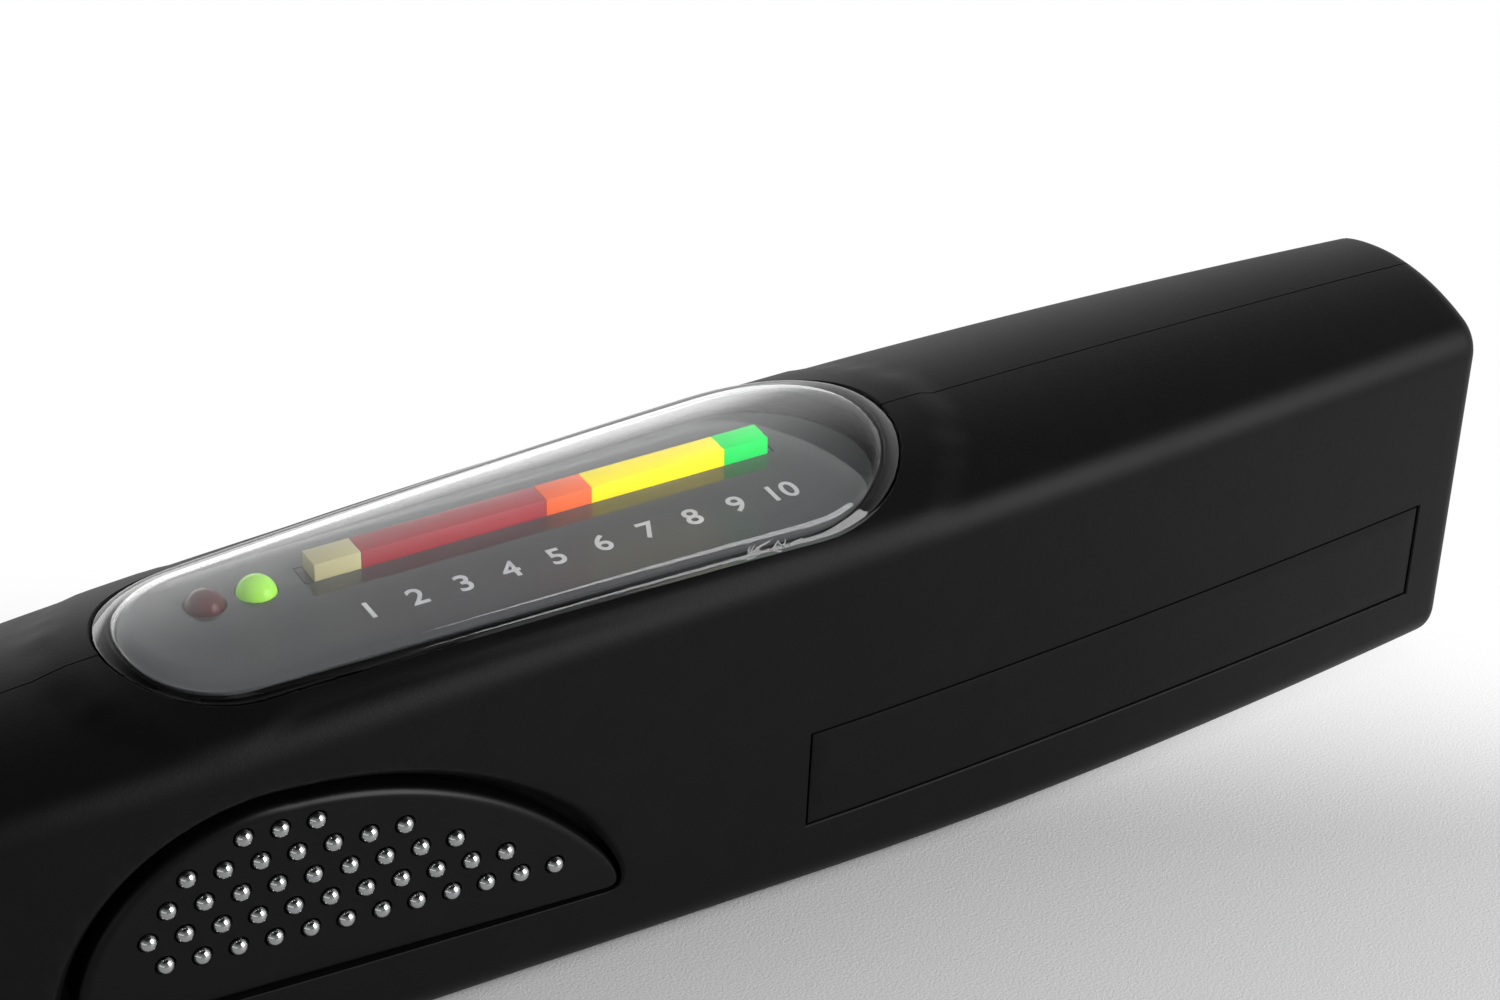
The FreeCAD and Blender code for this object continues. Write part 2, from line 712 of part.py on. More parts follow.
# Battery bay: two cells stacked, their contacts and the sliding door
cell_x = bay_front_x + contact_thickness + contact_clearance
cell_heights = (cell_floor + cell_radius, cell_floor + cell_radius + cell_spacing)
rear_plate_x = rear_x - wall - contact_thickness - contact_clearance
for name, z, flip in (("lower_cell", cell_heights[0], False), ("upper_cell", cell_heights[1], True)):
    profile = [(0, cell_radius), (cell_length, cell_radius), (cell_length, cell_nub_radius),
               (cell_length + cell_nub_length, cell_nub_radius)]
    room = rear_plate_x - cell_x - cell_length - cell_nub_length
    if flip:
        pieces[name] = stepped_bar(profile, Vector(cell_x + cell_length + cell_nub_length, 0, z),
                                   Vector(-1, 0, 0))
    else:
        pieces[name] = stepped_bar(profile, Vector(cell_x + room, 0, z), Vector(1, 0, 0))
contact_y = contact_width / 2
contact_reach = contact_height / 2
front_plates = [box(bay_front_x, bay_front_x + contact_thickness, -contact_y, contact_y,
                    z - contact_reach, z + contact_reach) for z in cell_heights]
pieces["front_contacts"] = Part.makeCompound(front_plates)
pieces["rear_contact"] = box(rear_plate_x, rear_plate_x + contact_thickness, -contact_y, contact_y,
                             cell_heights[0] - contact_reach, cell_heights[1] + contact_reach)
spring_radius = cell_nub_radius + spring_wire
spring_ends = ((bay_front_x + contact_thickness, cell_x + room, cell_heights[0]),
               (cell_x + cell_length + cell_nub_length, rear_plate_x, cell_heights[1]))
pieces["battery_springs"] = Part.makeCompound(
    [spring_sleeve(spring_radius, Vector(x0, 0, z), Vector(x1, 0, z)) for x0, x1, z in spring_ends])
door_x = slot_x + door_gap
door = outer.common(box(door_x, rear_x + 1, -rail_y, rail_y, -3, door_rail_z + door_gap))
door_flange_box = box(door_x, rear_x - rear_edge_radius, -flange_y, flange_y, door_rail_z + door_gap,
                      door_rail_z + door_gap + door_flange_thickness)
door_lip = outer.common(box(rear_x - wall + door_gap, rear_x + 1, -rail_y, rail_y, -3,
                            flange_top - door_gap))
door = fused(door, door_flange_box, door_lip)
for i in range(door_grooves):
    x = door_x + door_groove_start + i * door_groove_pitch
    door = door.cut(box(x, x + door_groove_width, -door_groove_length / 2, door_groove_length / 2, -3,
                        belly_height(x) + belly_flat + door_groove_depth))
pieces["battery_door"] = door.cut(ground)

# Case screws
screws = []
for x, z in screw_places:
    skin = side_y(x, min(z, roof_height(x) - crown_drop))
    seat_y = skin - screw_sink - screw_head_height
    shank = rod(screw_radius, Vector(x, -screw_reach * skin, z), Vector(x, seat_y, z), inner_sides)
    head = rod(screw_head_radius, Vector(x, seat_y, z), Vector(x, seat_y + screw_head_height, z))
    screws.append(shank.fuse(head))
pieces["case_screws"] = Part.makeCompound(screws)

for node, shape in pieces.items():
    shape.exportStep("parts/" + node + ".step")
    extents = shape.BoundBox
    print("%-22s solids %2d valid %s volume %9.2f x %6.2f..%6.2f z %5.2f..%5.2f" % (
        node, len(shape.Solids), shape.isValid(), shape.Volume,
        extents.XMin, extents.XMax, extents.ZMin, extents.ZMax))
print("nodes", len(pieces))
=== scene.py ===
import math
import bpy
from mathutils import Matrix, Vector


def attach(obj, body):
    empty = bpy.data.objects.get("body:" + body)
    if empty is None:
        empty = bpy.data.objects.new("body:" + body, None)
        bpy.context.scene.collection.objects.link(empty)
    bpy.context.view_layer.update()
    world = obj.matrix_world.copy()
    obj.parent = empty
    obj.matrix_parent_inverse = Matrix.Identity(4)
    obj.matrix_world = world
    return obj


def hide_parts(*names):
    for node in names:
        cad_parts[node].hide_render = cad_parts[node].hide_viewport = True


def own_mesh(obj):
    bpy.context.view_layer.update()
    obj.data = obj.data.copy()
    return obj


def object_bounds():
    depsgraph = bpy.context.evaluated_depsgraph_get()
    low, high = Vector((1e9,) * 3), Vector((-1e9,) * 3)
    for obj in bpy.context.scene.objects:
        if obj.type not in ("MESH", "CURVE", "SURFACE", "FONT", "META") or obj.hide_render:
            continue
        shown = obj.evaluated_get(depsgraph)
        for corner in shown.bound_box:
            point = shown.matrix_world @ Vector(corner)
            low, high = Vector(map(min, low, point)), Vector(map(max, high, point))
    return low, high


bl_info = {
    "name": "Diamond Tester",
    "version": (1, 0, 0),
    "blender": (4, 5, 0),
    "location": "3D View > Sidebar > Tester",
    "description": "Builds the looks of a hand-held diamond tester round its packed model",
    "category": "Object",
}

from types import SimpleNamespace

import bmesh
import bpy
from mathutils import Matrix, Vector

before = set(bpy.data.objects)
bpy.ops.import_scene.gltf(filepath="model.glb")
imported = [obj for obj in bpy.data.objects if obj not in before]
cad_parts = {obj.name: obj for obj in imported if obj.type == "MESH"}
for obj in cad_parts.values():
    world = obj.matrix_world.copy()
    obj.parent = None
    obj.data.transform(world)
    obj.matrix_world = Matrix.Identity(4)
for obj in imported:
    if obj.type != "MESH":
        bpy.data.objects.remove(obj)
CAD_BOX = [list(corner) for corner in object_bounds()]

MM = 0.001
AXIS_X, AXIS_Y, AXIS_Z = (1, 0, 0), (0, 1, 0), (0, 0, 1)
HOUSING, PROBE, BUTTON, DOOR = "housing", "probe", "button", "door"

# Places that the pieces share, in metres: X runs to the rear end and Z is the height
SHELL_FRONT = -58 * MM
CONE_FRONT = -74 * MM
SLEEVE_FRONT = -83 * MM
FRONT_BEND = -30 * MM
PROBE_AXIS = 15.8 * MM
SEAT_LEVEL = 30.0 * MM
PANEL_TOP = 30.2 * MM
BLOCK_FOOT, BLOCK_TOP = 28.1 * MM, 31.5 * MM
BAR_SLOT = (-7.1 * MM, 31.3 * MM)
BUTTON_X, BUTTON_Z = 19.5 * MM, 19.2 * MM
SCREW_PLACES = [(x * MM, z * MM) for x, z in ((-46.0, 15.6), (32.6, 5.2), (32.6, 20.0), (79.0, 27.4))]

# Battery bay and the door that closes it
BAY_FRONT = 40.1 * MM
RAIL_TOP = 4.54 * MM
DOOR_FRONT = BAY_FRONT + 1.32 * MM
DOOR_HALF, DOOR_TOP = 5.4 * MM, 3.62 * MM
FLANGE_HALF, FLANGE_FOOT = 6.1 * MM, 2.6 * MM
DOOR_GAP = 0.12 * MM

# Name recess in the left side
RECESS_START, RECESS_LENGTH = 26.8 * MM, 58.0 * MM
RECESS_FOOT, RECESS_HEIGHT = 6.2 * MM, 8.7 * MM
RECESS_SLOPE = math.tan(math.radians(1.1))

# Half lengths of cutters that reach past the body
FAR_X, FAR_Y, FAR_Z = 100 * MM, 30 * MM, 50 * MM


def size(name, description, default):
    return bpy.props.FloatProperty(
        name=name, description=description, default=default, unit="LENGTH", subtype="DISTANCE", precision=5)


def amount(name, description, default):
    return bpy.props.FloatProperty(name=name, description=description, default=default)


def share(name, description, default):
    return bpy.props.FloatProperty(
        name=name, description=description, default=default, min=0.0, max=1.0, subtype="FACTOR")


def colour(name, description, value):
    return bpy.props.FloatVectorProperty(
        name=name, description=description, default=(*value, 1.0), size=4, min=0.0, max=1.0, subtype="COLOR")


class BodySizes(bpy.types.PropertyGroup):
    length: size("Length", "From the probe's point to the rear end", CAD_BOX[1][0] - CAD_BOX[0][0])
    width: size("Width", "Across the widest place", 25 * MM)
    rear_width: size("Rear width", "Across the rear end", 18.4 * MM)
    front_width: size("Front width", "Across the shells where the nose begins", 14.6 * MM)
    height: size("Height", "Highest place of the roof", 33.5 * MM)
    crown: size("Crown", "How far the roof falls from its crest to the sides", 2.9 * MM)
    shoulder: size("Shoulder", "Radius between the roof and the sides", 3.0 * MM)
    corner: size("Belly corner", "Radius between the sides and the belly", 3.2 * MM)
    wall: size("Wall", "Thickness of the moulded wall", 1.6 * MM)
    rear_edge: size("Rear edge", "Rounding of the rear end", 1.4 * MM)
    seam: size("Seam width", "Gap where the two shells meet", 0.12 * MM)
    seam_depth: size("Seam depth", "Depth of the gap between the shells", 0.2 * MM)
    recess_depth: size("Recess depth", "Depth of the bare name recess", 0.35 * MM)
    plastic: colour("Plastic", "Colour of the moulded shells", (0.0011, 0.0011, 0.0012))
    roughness: share("Roughness", "How dull the shells are", 0.5)


class WindowSizes(bpy.types.PropertyGroup):
    rear: size("Rear end", "Place of the window's rear end", 39.0 * MM)
    front: size("Front end", "Place of the window's front end", -24.0 * MM)
    rear_radius: size("Rear radius", "Half width of the window at its rear", 10.7 * MM)
    front_radius: size("Front radius", "Half width of the window at its front", 8.9 * MM)
    rise: size("Rise", "How far the lens stands over the roof", 0.95 * MM)
    wall: size("Wall", "Thickness of the lens", 0.6 * MM)
    collar_reach: size("Collar reach", "How far the raised collar reaches behind the window", 4.3 * MM)
    collar_lift: size("Collar lift", "Height of the raised collar", 0.35 * MM)
    clear: colour("Clear", "Tint of the lens", (0.985, 0.99, 0.99))


class DisplaySizes(bpy.types.PropertyGroup):
    pitch: size("Block pitch", "Length of one light block with its gap", 3.735 * MM)
    gap: size("Block gap", "Gap between light blocks", 0.03 * MM)
    block_width: size("Block width", "Width of the light blocks", 2.05 * MM)
    bar_front: size("Bar front", "Where the light bar begins", -6.45 * MM)
    bar_y: size("Bar place", "How far the bar lies from the middle", 3.7 * MM)
    light_radius: size("Light radius", "Radius of the round indicator lights", 1.5 * MM)
    number_height: size("Number height", "Height of the printed numbers", 2.05 * MM)
    panel: colour("Panel", "Colour of the glossy panel", (0.078, 0.08, 0.084))
    print: colour("Print", "Colour of the printed scale", (0.62, 0.63, 0.64))
    pale: colour("Pale", "Colour of the first block", (0.46, 0.42, 0.22))
    red: colour("Red", "Colour of the red block", (0.36, 0.026, 0.038))
    orange: colour("Orange", "Colour of the orange block", (0.85, 0.13, 0.025))
    yellow: colour("Yellow", "Colour of the yellow block", (0.92, 0.76, 0.0))
    green: colour("Green", "Colour of the green block", (0.0, 0.62, 0.09))


class GripSizes(bpy.types.PropertyGroup):
    gap: size("Pad gap", "Gap under the pad", 0.15 * MM)
    upper_gap: size("Upper gap", "Gap over the pad", 1.0 * MM)
    scoop: size("Scoop", "Widest place of the hollow above the pad", 1.1 * MM)
    edge: size("Pad edge", "Rounding of the pad's edge", 0.75 * MM)
    dome_radius: size("Dome radius", "Radius of a contact dome", 0.7 * MM)
    dome_rise: size("Dome rise", "How far a dome stands out of the pad", 0.6 * MM)
    dome_pitch: size("Dome pitch", "From one dome to the next", 2.77 * MM)
    satin: colour("Satin", "Colour of the pad", (0.0013, 0.0013, 0.0014))
    chrome: colour("Chrome", "Colour of the contact domes", (0.52, 0.525, 0.53))


class ProbeSizes(bpy.types.PropertyGroup):
    sleeve_radius: size("Sleeve radius", "Radius of the steel sleeve", 2.0 * MM)
    pin_radius: size("Pin radius", "Radius of the copper tip", 0.9 * MM)
    cone_radius: size("Cone radius", "Radius of the nose cone at its front", 3.4 * MM)
    spring_turns: bpy.props.IntProperty(
        name="Spring turns", description="Turns of the probe's spring", default=9, min=2, max=40)
    copper: colour("Copper", "Colour of the probe's tip", (0.80, 0.36, 0.20))
    steel: colour("Steel", "Colour of the bare steel", (0.62, 0.62, 0.61))


class StageSettings(bpy.types.PropertyGroup):
    camera_place: bpy.props.FloatVectorProperty(
        name="Camera place", description="Where the camera stands", size=3, subtype="TRANSLATION",
        default=(-114.82 * MM, -242.9 * MM, 208.5 * MM))
    lens: amount("Lens", "Focal length in millimetres", 107.62)
    floor: colour("Floor", "Colour of the floor near the object", (0.53, 0.53, 0.53))
    # The floor shade is painted shade: the floor's colour is darker before the object.
    shade: colour("Floor shade", "Colour of the floor before the object", (0.39, 0.39, 0.39))
    backdrop: colour("Backdrop", "Colour of the floor far behind the object", (1.0, 1.0, 1.0))
    key: amount("Key light", "Power of the low lamp in front", 2.55)
    room: amount("Room light", "Strength of the even light", 0.7)
    ceiling: amount("Ceiling", "How bright the room is overhead", 0.05)
    front: amount("Front", "How bright the room is before the object", 0.3)
    veil: amount("Veil", "Extra brightness low in the room behind", 2.2)


# Numbers and points

def ramp(value):
    """The value, held between 0 and 1."""
    return min(max(value, 0.0), 1.0)


def smooth_step(value):
    value = ramp(value)
    return value * value * (3 - 2 * value)


def spread(first, last, steps):
    """Evenly spaced numbers with both ends."""
    return [first + (last - first) * i / steps for i in range(steps + 1)]


def between(start, end, count):
    """Evenly spaced points from the start towards the end, without the end."""
    return [tuple(a + (b - a) * i / count for a, b in zip(start, end)) for i in range(count)]


def quarter_turn(steps):
    """Sines and cosines of evenly spaced angles from 0 to a right angle."""
    angles = [math.pi / 2 * i / steps for i in range(steps + 1)]
    return [(math.sin(angle), math.cos(angle)) for angle in angles]


def bend(start, corner, end, t):
    """Point of the curve that rounds a corner, at a share of its way."""
    return tuple(start * (1 - t) ** 2 + corner * 2 * t * (1 - t) + end * t ** 2)


def in_mm(points):
    """Points given in millimetres, in metres."""
    return [tuple(value * MM for value in point) for point in points]


# Meshes

def new_object(name, data):
    obj = bpy.data.objects.new(name, data)
    bpy.context.scene.collection.objects.link(obj)
    return obj


def shaped_object(name, shaped):
    """Object with the mesh of a bmesh, which it uses up."""
    mesh = bpy.data.meshes.new(name)
    shaped.to_mesh(mesh)
    shaped.free()
    return new_object(name, mesh)


def mesh_object(name, points, faces):
    """Object of points and faces, with its doubles merged and its faces pointing outwards."""
    mesh = bpy.data.meshes.new(name)
    mesh.from_pydata(points, [], faces)
    shaped = bmesh.new()
    shaped.from_mesh(mesh)
    bmesh.ops.remove_doubles(shaped, verts=shaped.verts, dist=1e-7)
    bmesh.ops.recalc_face_normals(shaped, faces=shaped.faces)
    if shaped.calc_volume(signed=True) < 0:
        bmesh.ops.reverse_faces(shaped, faces=shaped.faces)
    shaped.to_mesh(mesh)
    shaped.free()
    return new_object(name, mesh)


def bands(pairs, count):
    """Faces between pairs of rings, which have this many points each."""
    faces = []
    for k, m in pairs:
        for i in range(count):
            j = (i + 1) % count
            faces.append((k * count + i, k * count + j, m * count + j, m * count + i))
    return faces


def ring_solid(name, rings, loop=False):
    """Skin over closed rings of equally many points, with flat ends or joined back to the first."""
    count = len(rings[0])
    points = [p for ring in rings for p in ring]
    pairs = [(k, k + 1) for k in range(len(rings) - 1)]
    if loop:
        return mesh_object(name, points, bands([*pairs, (len(rings) - 1, 0)], count))
    ends = [tuple(range(count))[::-1], tuple(range(len(points) - count, len(points)))]
    return mesh_object(name, points, bands(pairs, count) + ends)


def box_solid(name, low, high):
    x0, y0, z0 = low
    x1, y1, z1 = high
    return ring_solid(name, [[(x, y0, z0), (x, y1, z0), (x, y1, z1), (x, y0, z1)] for x in (x0, x1)])


def turn_to(axis, origin, along=AXIS_X):
    """Matrix that places a shape made along one axis so that it runs from the origin along another."""
    turn = Vector(along).rotation_difference(Vector(axis)).to_matrix().to_4x4()
    return Matrix.Translation(Vector(origin)) @ turn


def turned_solid(name, profile, origin, axis, sides=64, tube=False):
    """Solid of revolution of (distance, radius) points; a tube's profile closes on itself."""
    place = turn_to(axis, origin)
    rings = []
    for distance, radius in profile:
        ring = []
        for i in range(sides):
            angle = 2 * math.pi * i / sides
            ring.append(tuple(place @ Vector((distance, radius * math.cos(angle), radius * math.sin(angle)))))
        rings.append(ring)
    return ring_solid(name, rings, loop=tube)


def rod(name, start, end, radius, origin, axis=AXIS_Y):
    """Straight round rod from one distance along the axis to another."""
    return turned_solid(name, [(start, radius), (end, radius)], origin, axis)


def round_profile(profile, radius, skip=()):
    """The same profile with its inner corners rounded in three steps, except those to skip."""
    out = [profile[0]]
    for k in range(1, len(profile) - 1):
        a, b, c = (Vector(profile[i]) for i in (k - 1, k, k + 1))
        if k in skip:
            out.append(tuple(b))
            continue
        before, after = (a - b).normalized(), (c - b).normalized()
        reach = min(radius, 0.45 * (a - b).length, 0.45 * (c - b).length)
        out += [bend(b + before * reach, b, b + after * reach, i / 3) for i in range(4)]
    return out + [profile[-1]]


def evaluated_mesh(obj):
    return bpy.data.meshes.new_from_object(obj.evaluated_get(bpy.context.evaluated_depsgraph_get()))


def plain_mesh(obj):
    """Turns the object's modifiers into its own mesh."""
    mesh = evaluated_mesh(obj)
    obj.modifiers.clear()
    obj.data = mesh
    mesh.name = obj.name
    return obj


def combine(obj, tool, operation):
    """Works another mesh into this one and uses the other up."""
    step = obj.modifiers.new("combine", "BOOLEAN")
    step.operation = operation
    step.solver = "MANIFOLD"
    step.object = tool
    plain_mesh(obj)
    bpy.data.objects.remove(tool)
    return obj


def add(obj, tool):
    return combine(obj, tool, "UNION")


def cut(obj, tool):
    return combine(obj, tool, "DIFFERENCE")


def keep(obj, tool):
    return combine(obj, tool, "INTERSECT")


def copy_of(obj):
    return new_object(obj.name, obj.data.copy())


def joined(name, objects):
    """One mesh of several, which stay as they are in it."""
    shaped = bmesh.new()
    for obj in objects:
        shaped.from_mesh(obj.data)
        bpy.data.objects.remove(obj)
    return shaped_object(name, shaped)


def settle(obj, material, body, slot, *nodes, angle=32.0):
    """Finishes a piece: material, smooth shading up to an angle, body and the nodes it stands for; the slot
    is not used.
    """
    closed = bmesh.new()
    closed.from_mesh(obj.data)
    loose = sum(1 for edge in closed.edges if len(edge.link_faces) != 2)
    closed.free()
    if loose:
        raise RuntimeError(f"{obj.name} has {loose} open edges")
    if material is not None:
        obj.data.materials.clear()
        obj.data.materials.append(material)
    obj.data.shade_smooth()
    obj.data.set_sharp_from_angle(angle=math.radians(angle))
    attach(obj, body)
    if nodes:
        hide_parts(*nodes)


def dress(label, material):
    """Gives a node that keeps its own shape its material."""
    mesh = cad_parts[label].data
    mesh.materials.clear()
    mesh.materials.append(material)


# Shader nodes

def fill(tree, made, inputs):
    """Sets the inputs of a node; an input that is given a socket is linked to it."""
    for label, value in inputs.items():
        if isinstance(value, bpy.types.NodeSocket):
            tree.links.new(value, made.inputs[label])
        else:
            made.inputs[label].default_value = value
    return made


def node(tree, kind, inputs=None, **settings):
    """A new node with its settings and inputs."""
    made = tree.nodes.new(kind)
    for key, value in settings.items():
        setattr(made, key, value)
    return fill(tree, made, inputs or {})


def maths(tree, operation, first, second, clamp=False):
    made = node(tree, "ShaderNodeMath", {0: first, 1: second}, operation=operation, use_clamp=clamp)
    return made.outputs[0]


def noise(tree, vector, scale, detail=2.0, roughness=0.5):
    inputs = {"Vector": vector, "Scale": scale, "Detail": detail, "Roughness": roughness}
    return node(tree, "ShaderNodeTexNoise", inputs).outputs["Fac"]


def mixed(tree, mask, first, second):
    """Colour that goes from the first to the second with the mask."""
    return node(tree, "ShaderNodeMix", {0: mask, 6: first, 7: second}, data_type="RGBA").outputs[2]


def fade(tree, value, low, high, start=0.0, end=1.0):
    """Goes softly from start to end as the value goes from low to high."""
    inputs = {"Value": value, "From Min": low, "From Max": high, "To Min": start, "To Max": end}
    return node(tree, "ShaderNodeMapRange", inputs, interpolation_type="SMOOTHSTEP").outputs["Result"]


def level_run(tree, parts, x, y):
    """How far a place lies in a level direction."""
    return maths(tree, "ADD", maths(tree, "MULTIPLY", parts.outputs["Y"], y),
                 maths(tree, "MULTIPLY", parts.outputs["X"], x))


def object_place(tree):
    return tree.nodes.new("ShaderNodeTexCoord").outputs["Object"]


def show_blend(tree, mask, first, second):
    """Shows the second shader in place of the first by the mask."""
    blend = node(tree, "ShaderNodeMixShader", {0: mask, 1: first.outputs[0], 2: second.outputs[0]})
    fill(tree, tree.nodes["Material Output"], {"Surface": blend.outputs[0]})


def rgba(value):
    return (*value[:3], 1.0)


def dimmed(value, factor):
    return rgba([c * factor for c in value[:3]])


def new_group(name, inputs, outputs):
    group = bpy.data.node_groups.new(name, "ShaderNodeTree")
    for label, default in inputs:
        socket = group.interface.new_socket(label, in_out="INPUT", socket_type="NodeSocketFloat")
        socket.default_value = default
    for label in outputs:
        group.interface.new_socket(label, in_out="OUTPUT", socket_type="NodeSocketFloat")
    return group, group.nodes.new("NodeGroupInput").outputs


def grain_group():
    """Fine moulded or brushed texture: a height for Bump and a slow change of roughness."""
    found = bpy.data.node_groups.get("Moulded Grain")
    if found:
        return found
    inputs = (("Grain Size", 0.0002), ("Roughness", 0.4), ("Variation", 0.1))
    group, given = new_group("Moulded Grain", inputs, ("Height", "Roughness"))
    place = object_place(group)
    scale = maths(group, "DIVIDE", 1.0, given["Grain Size"])
    fine = noise(group, place, scale, 3.0, 0.6)
    coarse = noise(group, place, maths(group, "MULTIPLY", scale, 0.31))
    height = maths(group, "ADD", maths(group, "MULTIPLY", fine, 0.7), maths(group, "MULTIPLY", coarse, 0.3))
    slow = noise(group, place, 60.0, 4.0, 0.6)
    change = maths(group, "MULTIPLY", maths(group, "SUBTRACT", slow, 0.5), given["Variation"])
    roughness = maths(group, "ADD", given["Roughness"], change, True)
    node(group, "NodeGroupOutput", {"Height": height, "Roughness": roughness})
    return group


def wear_group():
    """Dust and rubbed places as a mask."""
    found = bpy.data.node_groups.get("Handling Marks")
    if found:
        return found
    group, given = new_group("Handling Marks", (("Size", 0.004), ("Amount", 0.3)), ("Mask",))
    place = object_place(group)
    scale = maths(group, "DIVIDE", 1.0, given["Size"])
    patches = maths(group, "SUBTRACT", noise(group, place, scale, 5.0, 0.65), 0.42)
    specks = maths(group, "MULTIPLY", noise(group, place, maths(group, "MULTIPLY", scale, 14.0)), 4.0)
    mask = maths(group, "MULTIPLY", patches, specks)
    node(group, "NodeGroupOutput", {"Mask": maths(group, "MULTIPLY", mask, given["Amount"], True)})
    return group


def surface(name, base, roughness, grain=0.0002, depth=0.00001, variation=0.1, marks=0.2, mark_size=0.004,
            mark_colour=None, **sockets):
    """A procedural finish: base colour with handling marks, changing roughness and a fine texture."""
    found = bpy.data.materials.get(name)
    if found:
        return found
    material = bpy.data.materials.new(name)
    material.use_nodes = True
    tree = material.node_tree
    inputs = {"Grain Size": grain, "Roughness": roughness, "Variation": variation}
    texture = node(tree, "ShaderNodeGroup", inputs, node_tree=grain_group())
    inputs = {"Strength": 1.0, "Distance": depth, "Height": texture.outputs["Height"]}
    bump = node(tree, "ShaderNodeBump", inputs)
    wear = node(tree, "ShaderNodeGroup", {"Size": mark_size, "Amount": marks}, node_tree=wear_group())
    marked = rgba(mark_colour or [c * 1.7 + 0.004 for c in base[:3]])
    fill(tree, tree.nodes["Principled BSDF"], {
        "Base Color": mixed(tree, wear.outputs["Mask"], rgba(base), marked),
        "Roughness": texture.outputs["Roughness"],
        "Normal": bump.outputs["Normal"],
        **{label.replace("_", " "): value for label, value in sockets.items()},
    })
    material.diffuse_color = rgba(base)
    return material


def lamp_and_painted_glow_surface(name, base, glow, roughness=0.25):
    """Translucent coloured resin that glows more or less from inside: a painted glow on the light blocks and
    the red lamp, the lamp's own light on the green ready lamp.
    """
    found = bpy.data.materials.get(name)
    if found:
        return found
    # The emission is painted glow, except on the green ready lamp, where it is the lamp's own light.
    material = surface(name, base, roughness, grain=0.0009, depth=0.000002, marks=0.15,
                       mark_colour=dimmed(base, 0.8), Emission_Strength=glow, Specular_IOR_Level=0.2)
    tree = material.node_tree
    inputs = {0: object_place(tree), 1: (0.35, 1.0, 1.0)}
    drawn = node(tree, "ShaderNodeVectorMath", inputs, operation="MULTIPLY")
    cloud = noise(tree, drawn.outputs[0], 700.0, 3.0, 0.6)
    glowing = mixed(tree, cloud, dimmed(base, 0.6), rgba(base))
    fill(tree, tree.nodes["Principled BSDF"], {"Emission Color": glowing})
    return material


# Finishes

def plastic(scene):
    s = scene.tester_body
    return surface("moulded_plastic", s.plastic, s.roughness, grain=0.00022, depth=0.000022, variation=0.08,
                   marks=0.25, Specular_IOR_Level=0.14)


def nose_plastic(scene):
    return surface("nose_plastic_fine", scene.tester_body.plastic, 0.38, variation=0.08, marks=0.25,
                   Specular_IOR_Level=0.16)


def window_clear(scene):
    """Clear moulding that lets most of the light through to what lies under it."""
    found = bpy.data.materials.get("window_clear")
    if found:
        return found
    tint = scene.tester_window.clear
    material = surface("window_clear", tint, 0.015, grain=0.003, depth=0.000003, variation=0.01, marks=0.02,
                       mark_colour=dimmed(tint, 0.97), Transmission_Weight=1.0, IOR=1.49)
    tree = material.node_tree
    thin = node(tree, "ShaderNodeBsdfTransparent", {"Color": (0.92, 0.92, 0.92, 1.0)})
    path = tree.nodes.new("ShaderNodeLightPath")
    show_blend(tree, path.outputs["Is Shadow Ray"], tree.nodes["Principled BSDF"], thin)
    return material


def display_gloss(scene):
    return surface("display_gloss", scene.tester_display.panel, 0.035, grain=0.002, depth=0.0000005,
                   variation=0.02, marks=0.08, Specular_IOR_Level=0.7)


def printed_white(scene):
    return surface("printed_white", scene.tester_display.print, 0.6, grain=0.0003, depth=0.000002, marks=0.3)


def grip_satin(scene):
    return surface("grip_satin", scene.tester_grip.satin, 0.34, grain=0.00014, depth=0.000008,
                   Specular_IOR_Level=0.16)


def polished_chrome(scene):
    return surface("polished_chrome", scene.tester_grip.chrome, 0.07, grain=0.001, depth=0.0000006,
                   variation=0.05, marks=0.1, mark_colour=(0.5, 0.5, 0.5), Metallic=1.0)


def steel(scene):
    return surface("bare_steel", scene.tester_probe.steel, 0.24, grain=0.0004, depth=0.000002, variation=0.15,
                   Metallic=1.0)


def copper(scene):
    return surface("probe_copper", scene.tester_probe.copper, 0.3, grain=0.0004, depth=0.000002,
                   variation=0.2, marks=0.4, mark_size=0.0015, mark_colour=(0.35, 0.14, 0.08), Metallic=1.0)


def button_moulding():
    return surface("button_moulding", (0.05, 0.05, 0.053), 0.42, grain=0.0003, depth=0.000005, marks=0.3)


def cell_sleeve():
    return surface("cell_sleeve", (0.06, 0.13, 0.30), 0.28, grain=0.0008, depth=0.000002)


def blackened_screw():
    return surface("blackened_screw", (0.045, 0.045, 0.047), 0.35, grain=0.0003, marks=0.5,
                   mark_colour=(0.2, 0.2, 0.2), Metallic=0.9)


def white_moulding():
    return surface("white_moulding", (0.62, 0.61, 0.58), 0.5, grain=0.0005)


def board_lacquer():
    return surface("board_lacquer", (0.012, 0.075, 0.035), 0.32, grain=0.0008, marks=0.4, mark_size=0.002,
                   mark_colour=(0.03, 0.13, 0.06))


def chip_resin():
    return surface("chip_resin", (0.018, 0.018, 0.018), 0.5, grain=0.0003)


# Shape of the body

